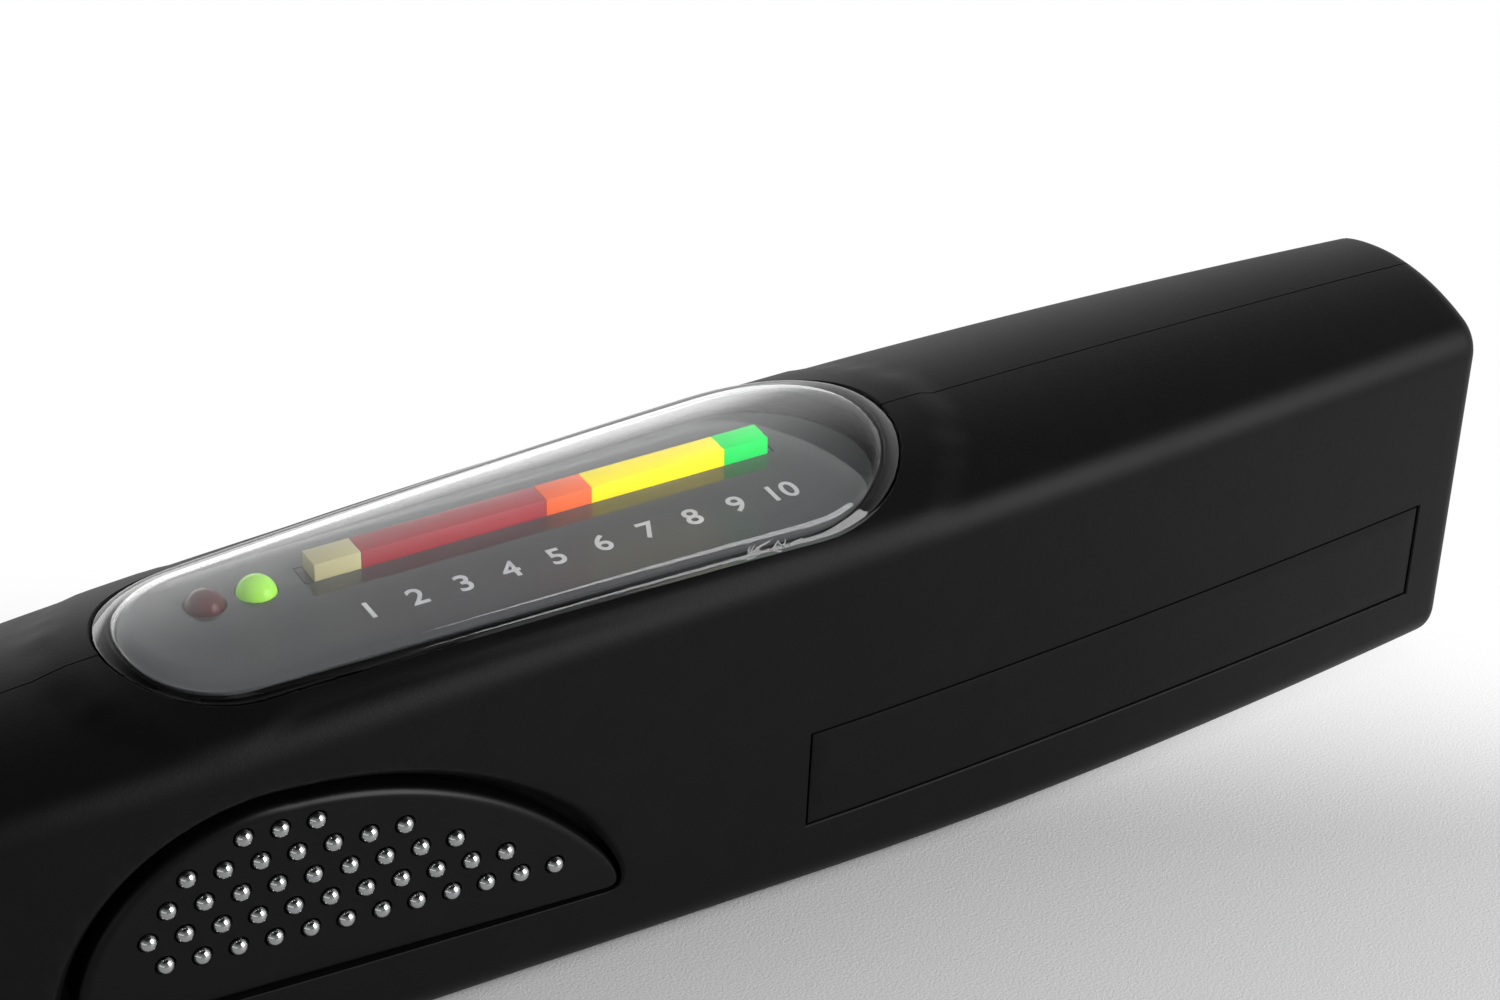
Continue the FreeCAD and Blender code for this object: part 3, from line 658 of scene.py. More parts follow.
class Hull:
    """Shape of the moulded body at any place along it, from the panel's sizes."""

    lean = 0.045
    roof_top_x = 54.0 * MM
    bow_radius = 1250.0 * MM
    front_fall = 3.6 * MM
    front_lift = 6.6 * MM
    rear_lift = 1.7 * MM
    belly_flat = 0.35 * MM
    rear_bend = 42.0 * MM
    taper_start = 30.0 * MM
    rear_taper, front_taper, lift_curve = 1.6, 3.5, 1.5

    def __init__(self, sizes):
        self.sizes = sizes
        self.rear = sizes.length / 2
        self.known = {}

    def half(self, x):
        """Half of the body's width."""
        s = self.sizes
        run = (x - self.taper_start) / (self.rear - self.taper_start)
        rear = (s.width - s.rear_width) / 2 * ramp(run) ** self.rear_taper
        front = (s.width - s.front_width) / 2 * ramp(x / SHELL_FRONT) ** self.front_taper
        return s.width / 2 - rear - front

    def front_bend(self, x):
        return ramp((FRONT_BEND - x) / (FRONT_BEND - SHELL_FRONT)) ** 2

    def arcs(self, x):
        """Centres and radii of the arcs that make the outline at one place."""
        key = round(x, 7)
        if key in self.known:
            return self.known[key]
        s = self.sizes
        half = self.half(x)
        drop = s.crown * half / (s.width / 2)
        bow = (x - self.roof_top_x) ** 2 / (2 * self.bow_radius)
        top = s.height - bow - self.front_fall * self.front_bend(x)
        rear = ramp((x - self.rear_bend) / (self.rear - self.rear_bend)) ** self.lift_curve
        bottom = self.front_lift * self.front_bend(x) + self.rear_lift * rear - self.belly_flat
        side_top = top - drop
        shoulder = min(s.shoulder, 0.45 * half)
        corner = min(s.corner, 0.42 * half)
        crown = (half ** 2 + drop ** 2) / (2 * drop)
        slant = math.hypot(1, self.lean)
        # The shoulder's centre lies where its arc touches both the roof's arc and the leaning side
        y0 = half - self.lean * side_top - shoulder / slant
        z0 = shoulder * self.lean / slant - (top - crown)
        b = y0 * self.lean + z0
        c = y0 ** 2 + z0 ** 2 - (crown - shoulder) ** 2
        z = (-b + math.sqrt(b * b - slant ** 2 * c)) / slant ** 2
        foot = bottom + corner - corner * self.lean / slant
        found = SimpleNamespace(
            half=half, top=top, side_top=side_top, bottom=bottom,
            crown=crown, shoulder=shoulder, corner=corner,
            shoulder_y=half - self.lean * (side_top - z) - shoulder / slant,
            shoulder_z=z + shoulder * self.lean / slant,
            corner_y=half - self.lean * (side_top - foot) - corner / slant,
            corner_z=bottom + corner,
            side_angle=math.pi / 2 + math.atan(self.lean))
        found.crown_end = math.atan2(found.shoulder_y, found.shoulder_z - top + crown)
        self.known[key] = found
        return found

    def outline(self, x, inset=0.0, fineness=1.0):
        """Right half of the outline, set in, as (y, z) from the crest to the middle of the belly."""
        a = self.arcs(x)

        def steps(count):
            return max(2, round(count * fineness))

        def arc(y, z, radius, start, end, count):
            angles = [start + (end - start) * i / steps(count) for i in range(steps(count))]
            return [(y + radius * math.sin(angle), z + radius * math.cos(angle)) for angle in angles]

        def side_end(y, z, radius):
            return y + radius * math.sin(a.side_angle), z + radius * math.cos(a.side_angle)

        shoulder = (a.shoulder_y, a.shoulder_z, a.shoulder - inset)
        corner = (a.corner_y, a.corner_z, a.corner - inset)
        belly = a.bottom + inset
        return [
            *arc(0, a.top - a.crown, a.crown - inset, 0, a.crown_end, 18),
            *arc(*shoulder, a.crown_end, a.side_angle, 14),
            *between(side_end(*shoulder), side_end(*corner), steps(14)),
            *arc(*corner, a.side_angle, math.pi, 12),
            *between((a.corner_y, belly), (0.0, belly), steps(6)),
            (0.0, belly),
        ]

    def top(self, x, y):
        """Height of the roof over one point."""
        a = self.arcs(x)
        y = abs(y)
        if y <= a.crown * math.sin(a.crown_end):
            return a.top - a.crown + math.sqrt(a.crown ** 2 - y ** 2)
        return a.shoulder_z + math.sqrt(max(a.shoulder ** 2 - (y - a.shoulder_y) ** 2, 0.0))

    def side(self, x, z):
        """How far the side reaches from the middle at one height."""
        a = self.arcs(x)
        level = math.cos(a.side_angle)
        if z >= a.shoulder_z + a.shoulder * level:
            return a.shoulder_y + math.sqrt(max(a.shoulder ** 2 - (z - a.shoulder_z) ** 2, 0.0))
        if z >= a.corner_z + a.corner * level:
            return a.half - self.lean * (a.side_top - z)
        return a.corner_y + math.sqrt(max(a.corner ** 2 - (z - a.corner_z) ** 2, 0.0))


def full_ring(x, half):
    """Closed ring across the body from its right half, given as (y, z)."""
    return [(x, y, z) for y, z in half] + [(x, -y, z) for y, z in reversed(half[1:-1])]


def skin_level(hull, x, y, z):
    """Height of the outside: the roof with its collar round the window, and the belly flat where it rests."""
    window = bpy.context.scene.tester_window
    if z > hull.sizes.height / 2:
        narrow, middle = 1.6 * MM, 7.5 * MM
        widening = smooth_step((abs(x - middle) / MM - 20) / 8)
        reach = narrow + (window.collar_reach - narrow) * widening
        fading = smooth_step((reach - window_distance(window, x, y)) / (0.8 * MM))
        z += window.collar_lift * fading * (1 - (y / hull.half(x)) ** 6)
    return max(z, 0.0)


def outer_solid(hull):
    """The body's outside as one solid, with its rear end rounded."""
    edge = hull.sizes.rear_edge
    straight_end = hull.rear - edge
    stations = [(x, 0.0) for x in spread(SHELL_FRONT, straight_end, 116)]
    stations += [(straight_end + edge * sine, edge * (1 - cosine)) for sine, cosine in quarter_turn(8)[1:]]
    stations.append((hull.rear, edge + 0.08 * MM))
    rings = []
    for x, inset in stations:
        rings.append(full_ring(x, [(y, skin_level(hull, x, y, z)) for y, z in hull.outline(x, inset)]))
    return ring_solid("outer", rings)


def inner_solid(hull, inset, front, rear):
    """The body's outline set in, from one place to another."""
    return ring_solid("inner", [full_ring(x, hull.outline(x, inset, 0.5)) for x in spread(front, rear, 30)])


def screw_seat(hull, x, z):
    """How far from the middle the heads of the case screws sit."""
    return hull.side(x, min(z, hull.arcs(x).top - hull.sizes.crown)) - 1.9 * MM


# Window outline

ARC_STEPS, LINE_STEPS = 28, 36


def window_ring(sizes, grow, scale=1.0):
    """Closed tapering oval of the window as (x, y), grown or scaled towards its middle line."""
    rear_c = sizes.rear - sizes.rear_radius
    front_c = sizes.front + sizes.front_radius
    rear_r = (sizes.rear_radius + grow) * scale
    front_r = (sizes.front_radius + grow) * scale
    lean = math.asin((rear_r - front_r) / (rear_c - front_c))

    def arc(centre, radius, start, turn):
        angles = [start + turn * i / ARC_STEPS for i in range(ARC_STEPS + 1)]
        return [(centre + radius * math.cos(angle), radius * math.sin(angle)) for angle in angles]

    rear = arc(rear_c, rear_r, -math.pi / 2 - lean, math.pi + 2 * lean)
    front = arc(front_c, front_r, math.pi / 2 + lean, math.pi - 2 * lean)
    left = between(rear[-1], front[0], LINE_STEPS)[1:]
    right = between(front[-1], rear[0], LINE_STEPS)[1:]
    return rear + left + front + right


def window_distance(sizes, x, y):
    """Distance from the window's outline, negative inside it."""
    rear_c = sizes.rear - sizes.rear_radius
    front_c = sizes.front + sizes.front_radius
    span = rear_c - front_c
    nx = (sizes.front_radius - sizes.rear_radius) / span
    ny = math.sqrt(1 - nx * nx)
    run = (x - front_c) * ny - abs(y) * nx
    if run < 0:
        return math.hypot(x - front_c, y) - sizes.front_radius
    if run > span * ny:
        return math.hypot(x - rear_c, y) - sizes.rear_radius
    return (x - front_c) * nx + abs(y) * ny - sizes.front_radius


def window_prism(name, sizes, grow, low, high):
    ring = window_ring(sizes, grow)
    return ring_solid(name, [[(x, y, z) for x, y in ring] for z in (low, high)])


# Grip pad outline, as (x, z) in millimetres: a rising and a falling arc, a short front and a straight foot

PAD_TIP, PAD_RISE, PAD_TOP = (11.9, 6.2), (0.8, 17.9), (-14.7, 23.0)
PAD_SHOULDER, PAD_FRONT, PAD_HEEL = (-26.2, 19.9), (-31.5, 10.9), (-30.9, 7.8)
PAD_STEPS = (40, 34, 5, 40)
TIP_BACK, TIP_SOFT = 2, 5
DOME_START, DOME_SLOPE = (-24.95 * MM, 12.2 * MM), math.radians(-3.6)

# Depths behind the pad's face
PAD_SINK = 0.12 * MM
PAD_BACK = -1.9 * MM
PLATE_BACK = -2.3 * MM


def arc_through(a, b, c, count):
    """Points on the arc through three points, without the last one."""
    ax, ay, bx, by, cx, cy = *a, *b, *c
    a2, b2, c2 = ax * ax + ay * ay, bx * bx + by * by, cx * cx + cy * cy
    d = 2 * (ax * (by - cy) + bx * (cy - ay) + cx * (ay - by))
    ux = (a2 * (by - cy) + b2 * (cy - ay) + c2 * (ay - by)) / d
    uy = (a2 * (cx - bx) + b2 * (ax - cx) + c2 * (bx - ax)) / d
    radius = math.hypot(ax - ux, ay - uy)
    start, middle, end = (math.atan2(y - uy, x - ux) for x, y in (a, b, c))
    turn = (end - start) % (2 * math.pi)
    if (middle - start) % (2 * math.pi) > turn:
        turn -= 2 * math.pi
    angles = [start + turn * i / count for i in range(count)]
    return [(ux + radius * math.cos(angle), uy + radius * math.sin(angle)) for angle in angles]


def pad_ring(grow=0.0, widths=None):
    """Half-moon of the pad as (x, z), grown evenly, or by a width for each point."""
    rise, fall, front, foot = PAD_STEPS
    points = arc_through(PAD_TIP, PAD_RISE, PAD_TOP, rise)
    points += arc_through(PAD_TOP, PAD_SHOULDER, PAD_FRONT, fall)
    points += between(PAD_FRONT, PAD_HEEL, front) + between(PAD_HEEL, PAD_TIP, foot)
    start, end = Vector(points[-TIP_BACK]), Vector(points[TIP_SOFT])
    for k in range(1 - TIP_BACK, TIP_SOFT):
        points[k] = bend(start, Vector(PAD_TIP), end, (k + TIP_BACK) / (TIP_SOFT + TIP_BACK))
    points = in_mm(points)
    grown = []
    for i, (x, z) in enumerate(points):
        before, after = points[i - 1], points[(i + 1) % len(points)]
        n1 = Vector((z - before[1], before[0] - x)).normalized()
        n2 = Vector((after[1] - z, x - after[0])).normalized()
        normal = (n1 + n2).normalized()
        stretch = min(1.0 / max(normal.dot(n1), 0.3), 2.2)
        reach = (grow + (widths[i] if widths else 0.0)) * stretch
        grown.append((x + normal.x * reach, z + normal.y * reach))
    return grown


def pad_upper():
    """How much each point of the pad's outline belongs to its upper arcs, from 0 to 1."""
    arcs_end = PAD_STEPS[0] + PAD_STEPS[1]
    upper = [smooth_step(0.12 + i / 14) for i in range(arcs_end + 1)]
    return upper + [1 - smooth_step((i - arcs_end) / 7) for i in range(arcs_end + 1, sum(PAD_STEPS))]


def pad_gaps(sizes, more=0.0):
    """Gap round the pad for each point of its outline."""
    return [sizes.gap + (sizes.upper_gap - sizes.gap) * upper + more for upper in pad_upper()]


def turn_about(point, angle, axis):
    """Matrix that turns about an axis through a point."""
    back = Matrix.Translation([-c for c in point])
    return Matrix.Translation(point) @ Matrix.Rotation(angle, 4, axis) @ back


def pad_place(hull, side):
    """Matrix that leans a piece of the grip on to the body's side; its face is y = 0, outside is +y."""
    front_x, rear_x = PAD_FRONT[0] * MM, PAD_TIP[0] * MM
    middle = (PAD_HEEL[1] + PAD_TOP[1]) / 2 * MM
    front_y = hull.side(front_x, middle) - PAD_SINK
    rear_y = hull.side(rear_x, middle) - PAD_SINK
    lean = turn_about((0, 0, middle), -math.atan(hull.lean), "X")
    turn = turn_about((front_x, 0, 0), math.atan((rear_y - front_y) / (rear_x - front_x)), "Z")
    place = Matrix.Translation((0, front_y, 0)) @ (turn @ lean)
    return place if side > 0 else Matrix.Scale(-1, 4, AXIS_Y) @ place


def set_in(place, outline, depth):
    """Ring of an outline at one depth, set in place."""
    return [tuple(place @ Vector((x, depth, z))) for x, z in outline]


def dome_places(sizes):
    """Where the domes stand on the pad, row by row."""
    along = Vector((math.cos(DOME_SLOPE), math.sin(DOME_SLOPE)))
    across = Vector((-along.y, along.x))
    spots = []
    for row, (count, shift) in enumerate(((12, 0.0), (11, -0.5), (9, 0.0), (7, 0.5), (3, 2.0))):
        for i in range(count):
            spot = Vector(DOME_START) + along * (i + shift) * sizes.dome_pitch \
                + across * row * sizes.dome_pitch * math.sqrt(3) / 2
            spots.append((spot.x, 0, spot.y))
    return spots


# Geometry trees

def new_tree(name, sockets):
    """Geometry tree with these inputs and a finish; gives its input sockets too."""
    tree = bpy.data.node_groups.new(name, "GeometryNodeTree")
    for label, kind in (*sockets, ("Finish", "Material")):
        tree.interface.new_socket(label, in_out="INPUT", socket_type="NodeSocket" + kind)
    tree.interface.new_socket("Geometry", in_out="OUTPUT", socket_type="NodeSocketGeometry")
    return tree, tree.nodes.new("NodeGroupInput").outputs


def end_tree(tree, geometry, finish):
    """Ends a geometry tree with a plain mesh in its finish."""
    real = node(tree, "GeometryNodeRealizeInstances", {"Geometry": geometry})
    paint = node(tree, "GeometryNodeSetMaterial", {"Geometry": real.outputs[0], "Material": finish})
    node(tree, "NodeGroupOutput", {"Geometry": paint.outputs[0]})
    return tree


def scatter_tree():
    """Copies a shape to every point of a mesh."""
    found = bpy.data.node_groups.get("Set Pieces")
    if found:
        return found
    tree, given = new_tree("Set Pieces", (("Points", "Geometry"), ("Shape", "Object"), ("Size", "Float")))
    shape = node(tree, "GeometryNodeObjectInfo", {"Object": given["Shape"]})
    spread_out = node(tree, "GeometryNodeInstanceOnPoints", {
        "Points": given["Points"], "Instance": shape.outputs["Geometry"], "Scale": given["Size"]})
    return end_tree(tree, spread_out.outputs[0], given["Finish"])


def spring_tree():
    """Round wire wound along Z."""
    found = bpy.data.node_groups.get("Wound Spring")
    if found:
        return found
    labels = ("Front Radius", "Rear Radius", "Wire Radius", "Length", "Turns")
    sockets = [("Geometry", "Geometry")] + [(label, "Float") for label in labels]
    tree, given = new_tree("Wound Spring", sockets)
    spiral = node(tree, "GeometryNodeCurveSpiral", {
        "Resolution": 20, "Rotations": given["Turns"], "Start Radius": given["Front Radius"],
        "End Radius": given["Rear Radius"], "Height": given["Length"]})
    circle = node(tree, "GeometryNodeCurvePrimitiveCircle", {"Resolution": 8, "Radius": given["Wire Radius"]})
    skin = node(tree, "GeometryNodeCurveToMesh", {
        "Curve": spiral.outputs["Curve"], "Profile Curve": circle.outputs["Curve"], "Fill Caps": True})
    return end_tree(tree, skin.outputs[0], given["Finish"])


def run_tree(obj, tree, values):
    """Runs a geometry tree on the object with these inputs and keeps the plain mesh."""
    step = obj.modifiers.new("tree", "NODES")
    step.node_group = tree
    for item in tree.interface.items_tree:
        if item.in_out == "INPUT" and item.name in values:
            step[item.identifier] = values[item.name]
    return plain_mesh(obj)


def scattered(name, points, shape, material):
    """Mesh with the shape at every point; the shape is used up."""
    obj = new_object(name, bpy.data.meshes.new(name))
    obj.data.from_pydata(points, [], [])
    run_tree(obj, scatter_tree(), {"Shape": shape, "Size": 1.0, "Finish": material})
    bpy.data.objects.remove(shape)
    return obj


def wound(name, radii, wire, length, turns, origin, material):
    """Spring along X from its origin."""
    obj = new_object(name, bpy.data.meshes.new(name))
    run_tree(obj, spring_tree(), {"Front Radius": radii[0], "Rear Radius": radii[1], "Wire Radius": wire,
                                  "Length": length, "Turns": turns, "Finish": material})
    obj.data.transform(turn_to(AXIS_X, origin, along=AXIS_Z))
    return obj


class TesterOperator:
    bl_options = {"REGISTER", "UNDO"}


# Hollow over the pad: (share of its width, share of its depth) from the pocket outwards
SCOOP_PROFILE = ((0.0, 1.0), (0.2, 0.8), (0.4, 0.54), (0.6, 0.3), (0.8, 0.1), (1.0, 0.0), (1.2, -0.03),
                 (1.5, -0.35))
# Flare of the window's hole: (growth, depth under the roof) in millimetres
WINDOW_FLARE = ((0.1, 0.22), (0.13, 0.1), (0.2, 0.02), (0.3, -0.04), (0.6, -0.16))
# Layers of the recess and of its bare plate over their floor: (distance from the side, growth) in millimetres
RECESS_LAYERS = ((-0.1, 0.03), (0.02, 0.15), (1.5, 1.5))
PLATE_LAYERS = ((-0.2, -0.12), (-0.11, -0.16), (-0.07, -0.3))


class TESTER_OT_housing(TesterOperator, bpy.types.Operator):
    """Moulded left and right shells with the window collar, the pockets for the pads and the battery bay"""
    bl_idname = "tester.housing"
    bl_label = "Housing shells"

    def pocket(self, hull, sizes, side):
        """Cutter of the pad's pocket, whose upper edge is a wide soft hollow."""
        place = pad_place(hull, side)
        gaps = pad_gaps(sizes)
        widths = [sizes.scoop * (0.05 + 0.95 * upper) for upper in pad_upper()]
        rings = [set_in(place, pad_ring(0.0, gaps), depth) for depth in (PLATE_BACK - 0.05 * MM, -1.25 * MM)]
        for part, depth_share in SCOOP_PROFILE:
            ring = []
            grown = pad_ring(0.0, [gap + width * part for gap, width in zip(gaps, widths)])
            for (x, z), width in zip(grown, widths):
                world = place @ Vector((x, 0, z))
                reach = hull.side(world.x, world.z) - width * 0.9 * depth_share
                ring.append((world.x, math.copysign(reach, side), world.z))
            rings.append(ring)
        rings.append([(x, math.copysign(abs(y) + 3 * MM, side), z) for x, y, z in rings[-1]])
        return ring_solid("pocket", rings)

    def side_slab(self, hull, name, layers):
        """Solid over the name recess's outline, through layers given as (distance from the side, grow)."""
        columns, rows = 44, 6
        points, faces = [], []
        for out, grow in layers:
            for i in range(columns + 1):
                run = RECESS_LENGTH * i / columns
                for j in range(rows + 1):
                    x = RECESS_START + run
                    z = RECESS_FOOT + RECESS_SLOPE * run + RECESS_HEIGHT * j / rows
                    points.append((x + grow * (2 * i / columns - 1), -(hull.side(x, z) + out),
                                   z + grow * (2 * j / rows - 1)))
        wide = rows + 1
        layer = (columns + 1) * wide
        last = layer * (len(layers) - 1)
        for i in range(columns):
            for j in range(rows):
                a = i * wide + j
                quad = (a, a + 1, a + wide + 1, a + wide)
                faces.append(quad)
                faces.append(tuple(last + v for v in reversed(quad)))
        rim = [i * wide for i in range(columns + 1)] + [columns * wide + j for j in range(1, rows + 1)] \
            + [i * wide + rows for i in range(columns - 1, -1, -1)] + list(range(rows - 1, 0, -1))
        for base in range(0, last, layer):
            for a, b in zip(rim, rim[1:] + rim[:1]):
                faces.append((base + a, base + b, base + layer + b, base + layer + a))
        return mesh_object(name, points, faces)

    def window_cutter(self, hull, window):
        """Cutter of the window's hole, a little flared where it meets the roof."""
        rings = [[(x, y, SEAT_LEVEL) for x, y in window_ring(window, 0.1 * MM)]]
        for grow, depth in in_mm(WINDOW_FLARE):
            ring = window_ring(window, grow)
            rings.append([(x, y, skin_level(hull, x, y, hull.top(x, y)) - depth) for x, y in ring])
        rings.append([(x, y, hull.sizes.height + 5 * MM) for x, y in ring])
        return ring_solid("window", rings)

    def hollow_body(self, hull, body, window, grip):
        """Both shells in one, with the window's seat, the pockets' walls, the ribs and the bosses inside."""
        shell = outer_solid(hull)
        whole = copy_of(shell)
        cut(shell, inner_solid(hull, body.wall, SHELL_FRONT - 1 * MM, hull.rear - body.wall))
        seat = window_prism("seat", window, 1.0 * MM, SEAT_LEVEL - 1.8 * MM, SEAT_LEVEL)
        add(shell, keep(seat, whole))
        half_wall = body.wall * 0.5
        inside = inner_solid(hull, half_wall, SHELL_FRONT + 0.5 * MM, hull.rear - half_wall)
        blocks = []
        for side in (-1, 1):
            outline = pad_ring(0.0, pad_gaps(grip, 0.9 * MM))
            place = pad_place(hull, side)
            blocks.append(ring_solid("pocket_wall", [set_in(place, outline, depth)
                                                     for depth in (PLATE_BACK - 1 * MM, -0.6 * MM)]))
        foot, wide = 0.5 * MM, 20 * MM
        thick, tall = 1.8 * MM, 24.4 * MM
        blocks.append(box_solid("bulkhead", (BAY_FRONT - thick, -wide, foot), (BAY_FRONT, wide, tall)))
        for near, far in ((-wide, -DOOR_HALF), (DOOR_HALF, wide)):
            blocks.append(box_solid("rail", (BAY_FRONT, near, foot), (hull.rear, far, RAIL_TOP)))
        for x, z in SCREW_PLACES:
            blocks.append(rod("boss", -wide, wide, 2.0 * MM, (x, 0, z)))
        for block in blocks:
            add(shell, keep(block, copy_of(inside)))
        bpy.data.objects.remove(inside)
        return shell

    def cut_bay(self, shell, hull):
        """Opening of the battery door, the bay over it and the grooves that the door slides in."""
        front = DOOR_FRONT - DOOR_GAP
        past, rear_wall = hull.rear + 2 * MM, hull.rear - hull.sizes.wall
        door, flange, top = DOOR_HALF + DOOR_GAP, FLANGE_HALF + DOOR_GAP, DOOR_TOP + DOOR_GAP
        cut(shell, box_solid("door", (front, -door, -2 * MM), (past, door, top)))
        cut(shell, box_solid("bay", (front, -door, 2 * MM), (rear_wall, door, RAIL_TOP + 0.1 * MM)))
        cut(shell, box_solid("groove", (front, -flange, FLANGE_FOOT), (past, flange, top)))

    def cut_side_holes(self, shell, hull):
        """Hole of the button and the stepped holes of the screws."""
        reach = hull.side(BUTTON_X, BUTTON_Z)
        profile = [(reach - 3.2 * MM, 4.0 * MM), (reach - 0.15 * MM, 4.0 * MM),
                   (reach + 0.2 * MM, 4.3 * MM), (reach + 5 * MM, 4.3 * MM)]
        cut(shell, turned_solid("button", profile, (BUTTON_X, 0, BUTTON_Z), AXIS_Y, 96))
        for x, z in SCREW_PLACES:
            seat = screw_seat(hull, x, z)
            cut(shell, rod("screw_hole", seat, FAR_Y, 1.9 * MM, (x, 0, z)))
            cut(shell, rod("screw_bore", -5 * MM, seat + 0.1 * MM, 1.0 * MM, (x, 0, z)))

    def execute(self, context):
        scene = context.scene
        body, window, grip = scene.tester_body, scene.tester_window, scene.tester_grip
        hull = Hull(body)
        shell = self.hollow_body(hull, body, window, grip)
        cut(shell, self.window_cutter(hull, window))
        cut(shell, window_prism("view", window, -1.4 * MM, SEAT_LEVEL - 3 * MM, SEAT_LEVEL + 1 * MM))
        for side in (-1, 1):
            cut(shell, self.pocket(hull, grip, side))
        deep = body.recess_depth
        cut(shell, self.side_slab(hull, "recess", [(-deep, 0.0), *in_mm(RECESS_LAYERS)]))
        self.cut_bay(shell, hull)
        self.cut_side_holes(shell, hull)
        seam = box_solid("seam", (-FAR_X, -body.seam / 2, -2 * MM), (FAR_X, body.seam / 2, FAR_Z))
        depth = body.seam_depth
        cut(shell, cut(seam, inner_solid(hull, depth, SHELL_FRONT - 2 * MM, hull.rear - depth)))

        for name, half, near, far in (("right", copy_of(shell), 0, FAR_Y), ("left", shell, -FAR_Y, 0)):
            half.name = name + "_shell_moulding"
            keep(half, box_solid("half", (-FAR_X, near, -10 * MM), (FAR_X, far, FAR_Z)))
            settle(half, plastic(scene), HOUSING, "body_plastic", name + "_shell", angle=28)
        plate = self.side_slab(hull, "name_plate_blank", [(-deep, -0.12 * MM), *in_mm(PLATE_LAYERS)])
        settle(plate, plastic(scene), HOUSING, "body_plastic")
        return {"FINISHED"}


# Outside of the lens from its seat up: (growth, height over the roof) in millimetres, None at the seat
LENS_OUTSIDE = ((0.0, None), (0.0, -0.05), (-0.01, 0.1), (-0.03, 0.22), (-0.08, 0.3), (-0.2, 0.385),
                (-0.5, 0.57), (-0.85, 0.75), (-1.2, 0.865), (-1.6, 0.92), (-2.0, 0.94), (-2.6, 0.95))
# Inside of the lens from its ceiling down: (growth, drop) in millimetres, None at the seat
LENS_INSIDE = ((-2.6, 0.0), (-2.0, 0.04), (-1.6, 0.12), (-1.35, 0.28), (-1.2, 0.5), (-1.12, 0.8),
               (-1.1, None))
LENS_TOP_SCALES = (0.68, 0.5, 0.34, 0.18, 0.03)
LENS_RISE = LENS_OUTSIDE[-1][1] * MM
# Slivers of the gate scar: place along the rim, lift, slope in degrees, and length; the rest in millimetres
GATE_SLIVERS = ((21.6, 0.04, 58, 1.0), (21.6, 0.04, 43, 1.3), (21.65, 0.03, 30, 1.55), (21.7, 0.02, 18, 1.7),
                (21.75, 0.01, 7, 1.8), (23.3, 0.42, -24, 1.2), (23.6, 0.22, 33, 1.0), (24.3, 0.56, -40, 0.75),
                (24.5, 0.1, 52, 0.8), (25.1, 0.3, 8, 1.2), (22.4, 0.6, 12, 1.4))


class TESTER_OT_window(TesterOperator, bpy.types.Operator):
    """Clear lens with a rounded rim that follows the roof"""
    bl_idname = "tester.window"
    bl_label = "Window lens"

    def gate_mark(self, lens, hull, window):
        """Scar of the moulding gate: slivers that fan out low on the left rim."""
        outline = window_ring(window, -0.1 * MM)
        half = 0.05 * MM
        for x, lift, slope, length in GATE_SLIVERS:
            near = min(y for px, y in outline if abs(px - x * MM) < 1.0 * MM)
            sliver = box_solid("sliver", (0.0, -0.16 * MM, -half), (length * MM, 0.4 * MM, half))
            place = Matrix.Translation((x * MM, near + 0.4 * lift * MM, hull.top(x * MM, near) + lift * MM))
            lean = Matrix.Rotation(math.radians(-35), 4, "X")
            sliver.data.transform(place @ lean @ Matrix.Rotation(-math.radians(slope), 4, "Y"))
            add(lens, sliver)

    def middle_faces(self, base):
        """Faces that close the innermost ring, where each point meets the one opposite it."""
        half_arc = ARC_STEPS // 2
        far_side = ARC_STEPS + LINE_STEPS + half_arc
        count = 2 * (ARC_STEPS + LINE_STEPS)
        near = list(range(half_arc + 1))[::-1] + list(range(count - 1, far_side - 1, -1))
        opposite = list(range(half_arc, far_side + 1))
        faces = []
        for corners in zip(near, opposite, opposite[1:], near[1:]):
            face = tuple(dict.fromkeys(base + v for v in corners))
            if len(face) > 2:
                faces.append(face)
        return faces

    def execute(self, context):
        window = context.scene.tester_window
        hull = Hull(context.scene.tester_body)
        rise = window.rise
        ceiling = rise - window.wall

        def ring(level, grow=0.0, scale=1.0):
            """Ring at a height over the roof, or on the seat."""
            outline = window_ring(window, grow, scale)
            return [(x, y, SEAT_LEVEL if level is None else hull.top(x, y) + level) for x, y in outline]

        rings = [ring(lift if lift is None else lift * MM + rise - LENS_RISE, grow * MM)
                 for grow, lift in LENS_OUTSIDE]
        rings += [ring(rise, scale=scale) for scale in LENS_TOP_SCALES]
        top = len(rings) - 1
        rings += [ring(ceiling, scale=scale) for scale in reversed(LENS_TOP_SCALES)]
        rings += [ring(drop if drop is None else ceiling - drop * MM, grow * MM)
                  for grow, drop in LENS_INSIDE]
        count = len(rings[0])
        faces = bands([(k, (k + 1) % len(rings)) for k in range(len(rings)) if k != top], count)
        faces += self.middle_faces(top * count) + self.middle_faces((top + 1) * count)
        lens = mesh_object("window_lens", [p for ring_points in rings for p in ring_points], faces)
        self.gate_mark(lens, hull, window)
        settle(lens, window_clear(context.scene), HOUSING, "lens_clear", "lens_cover", angle=40)
        return {"FINISHED"}
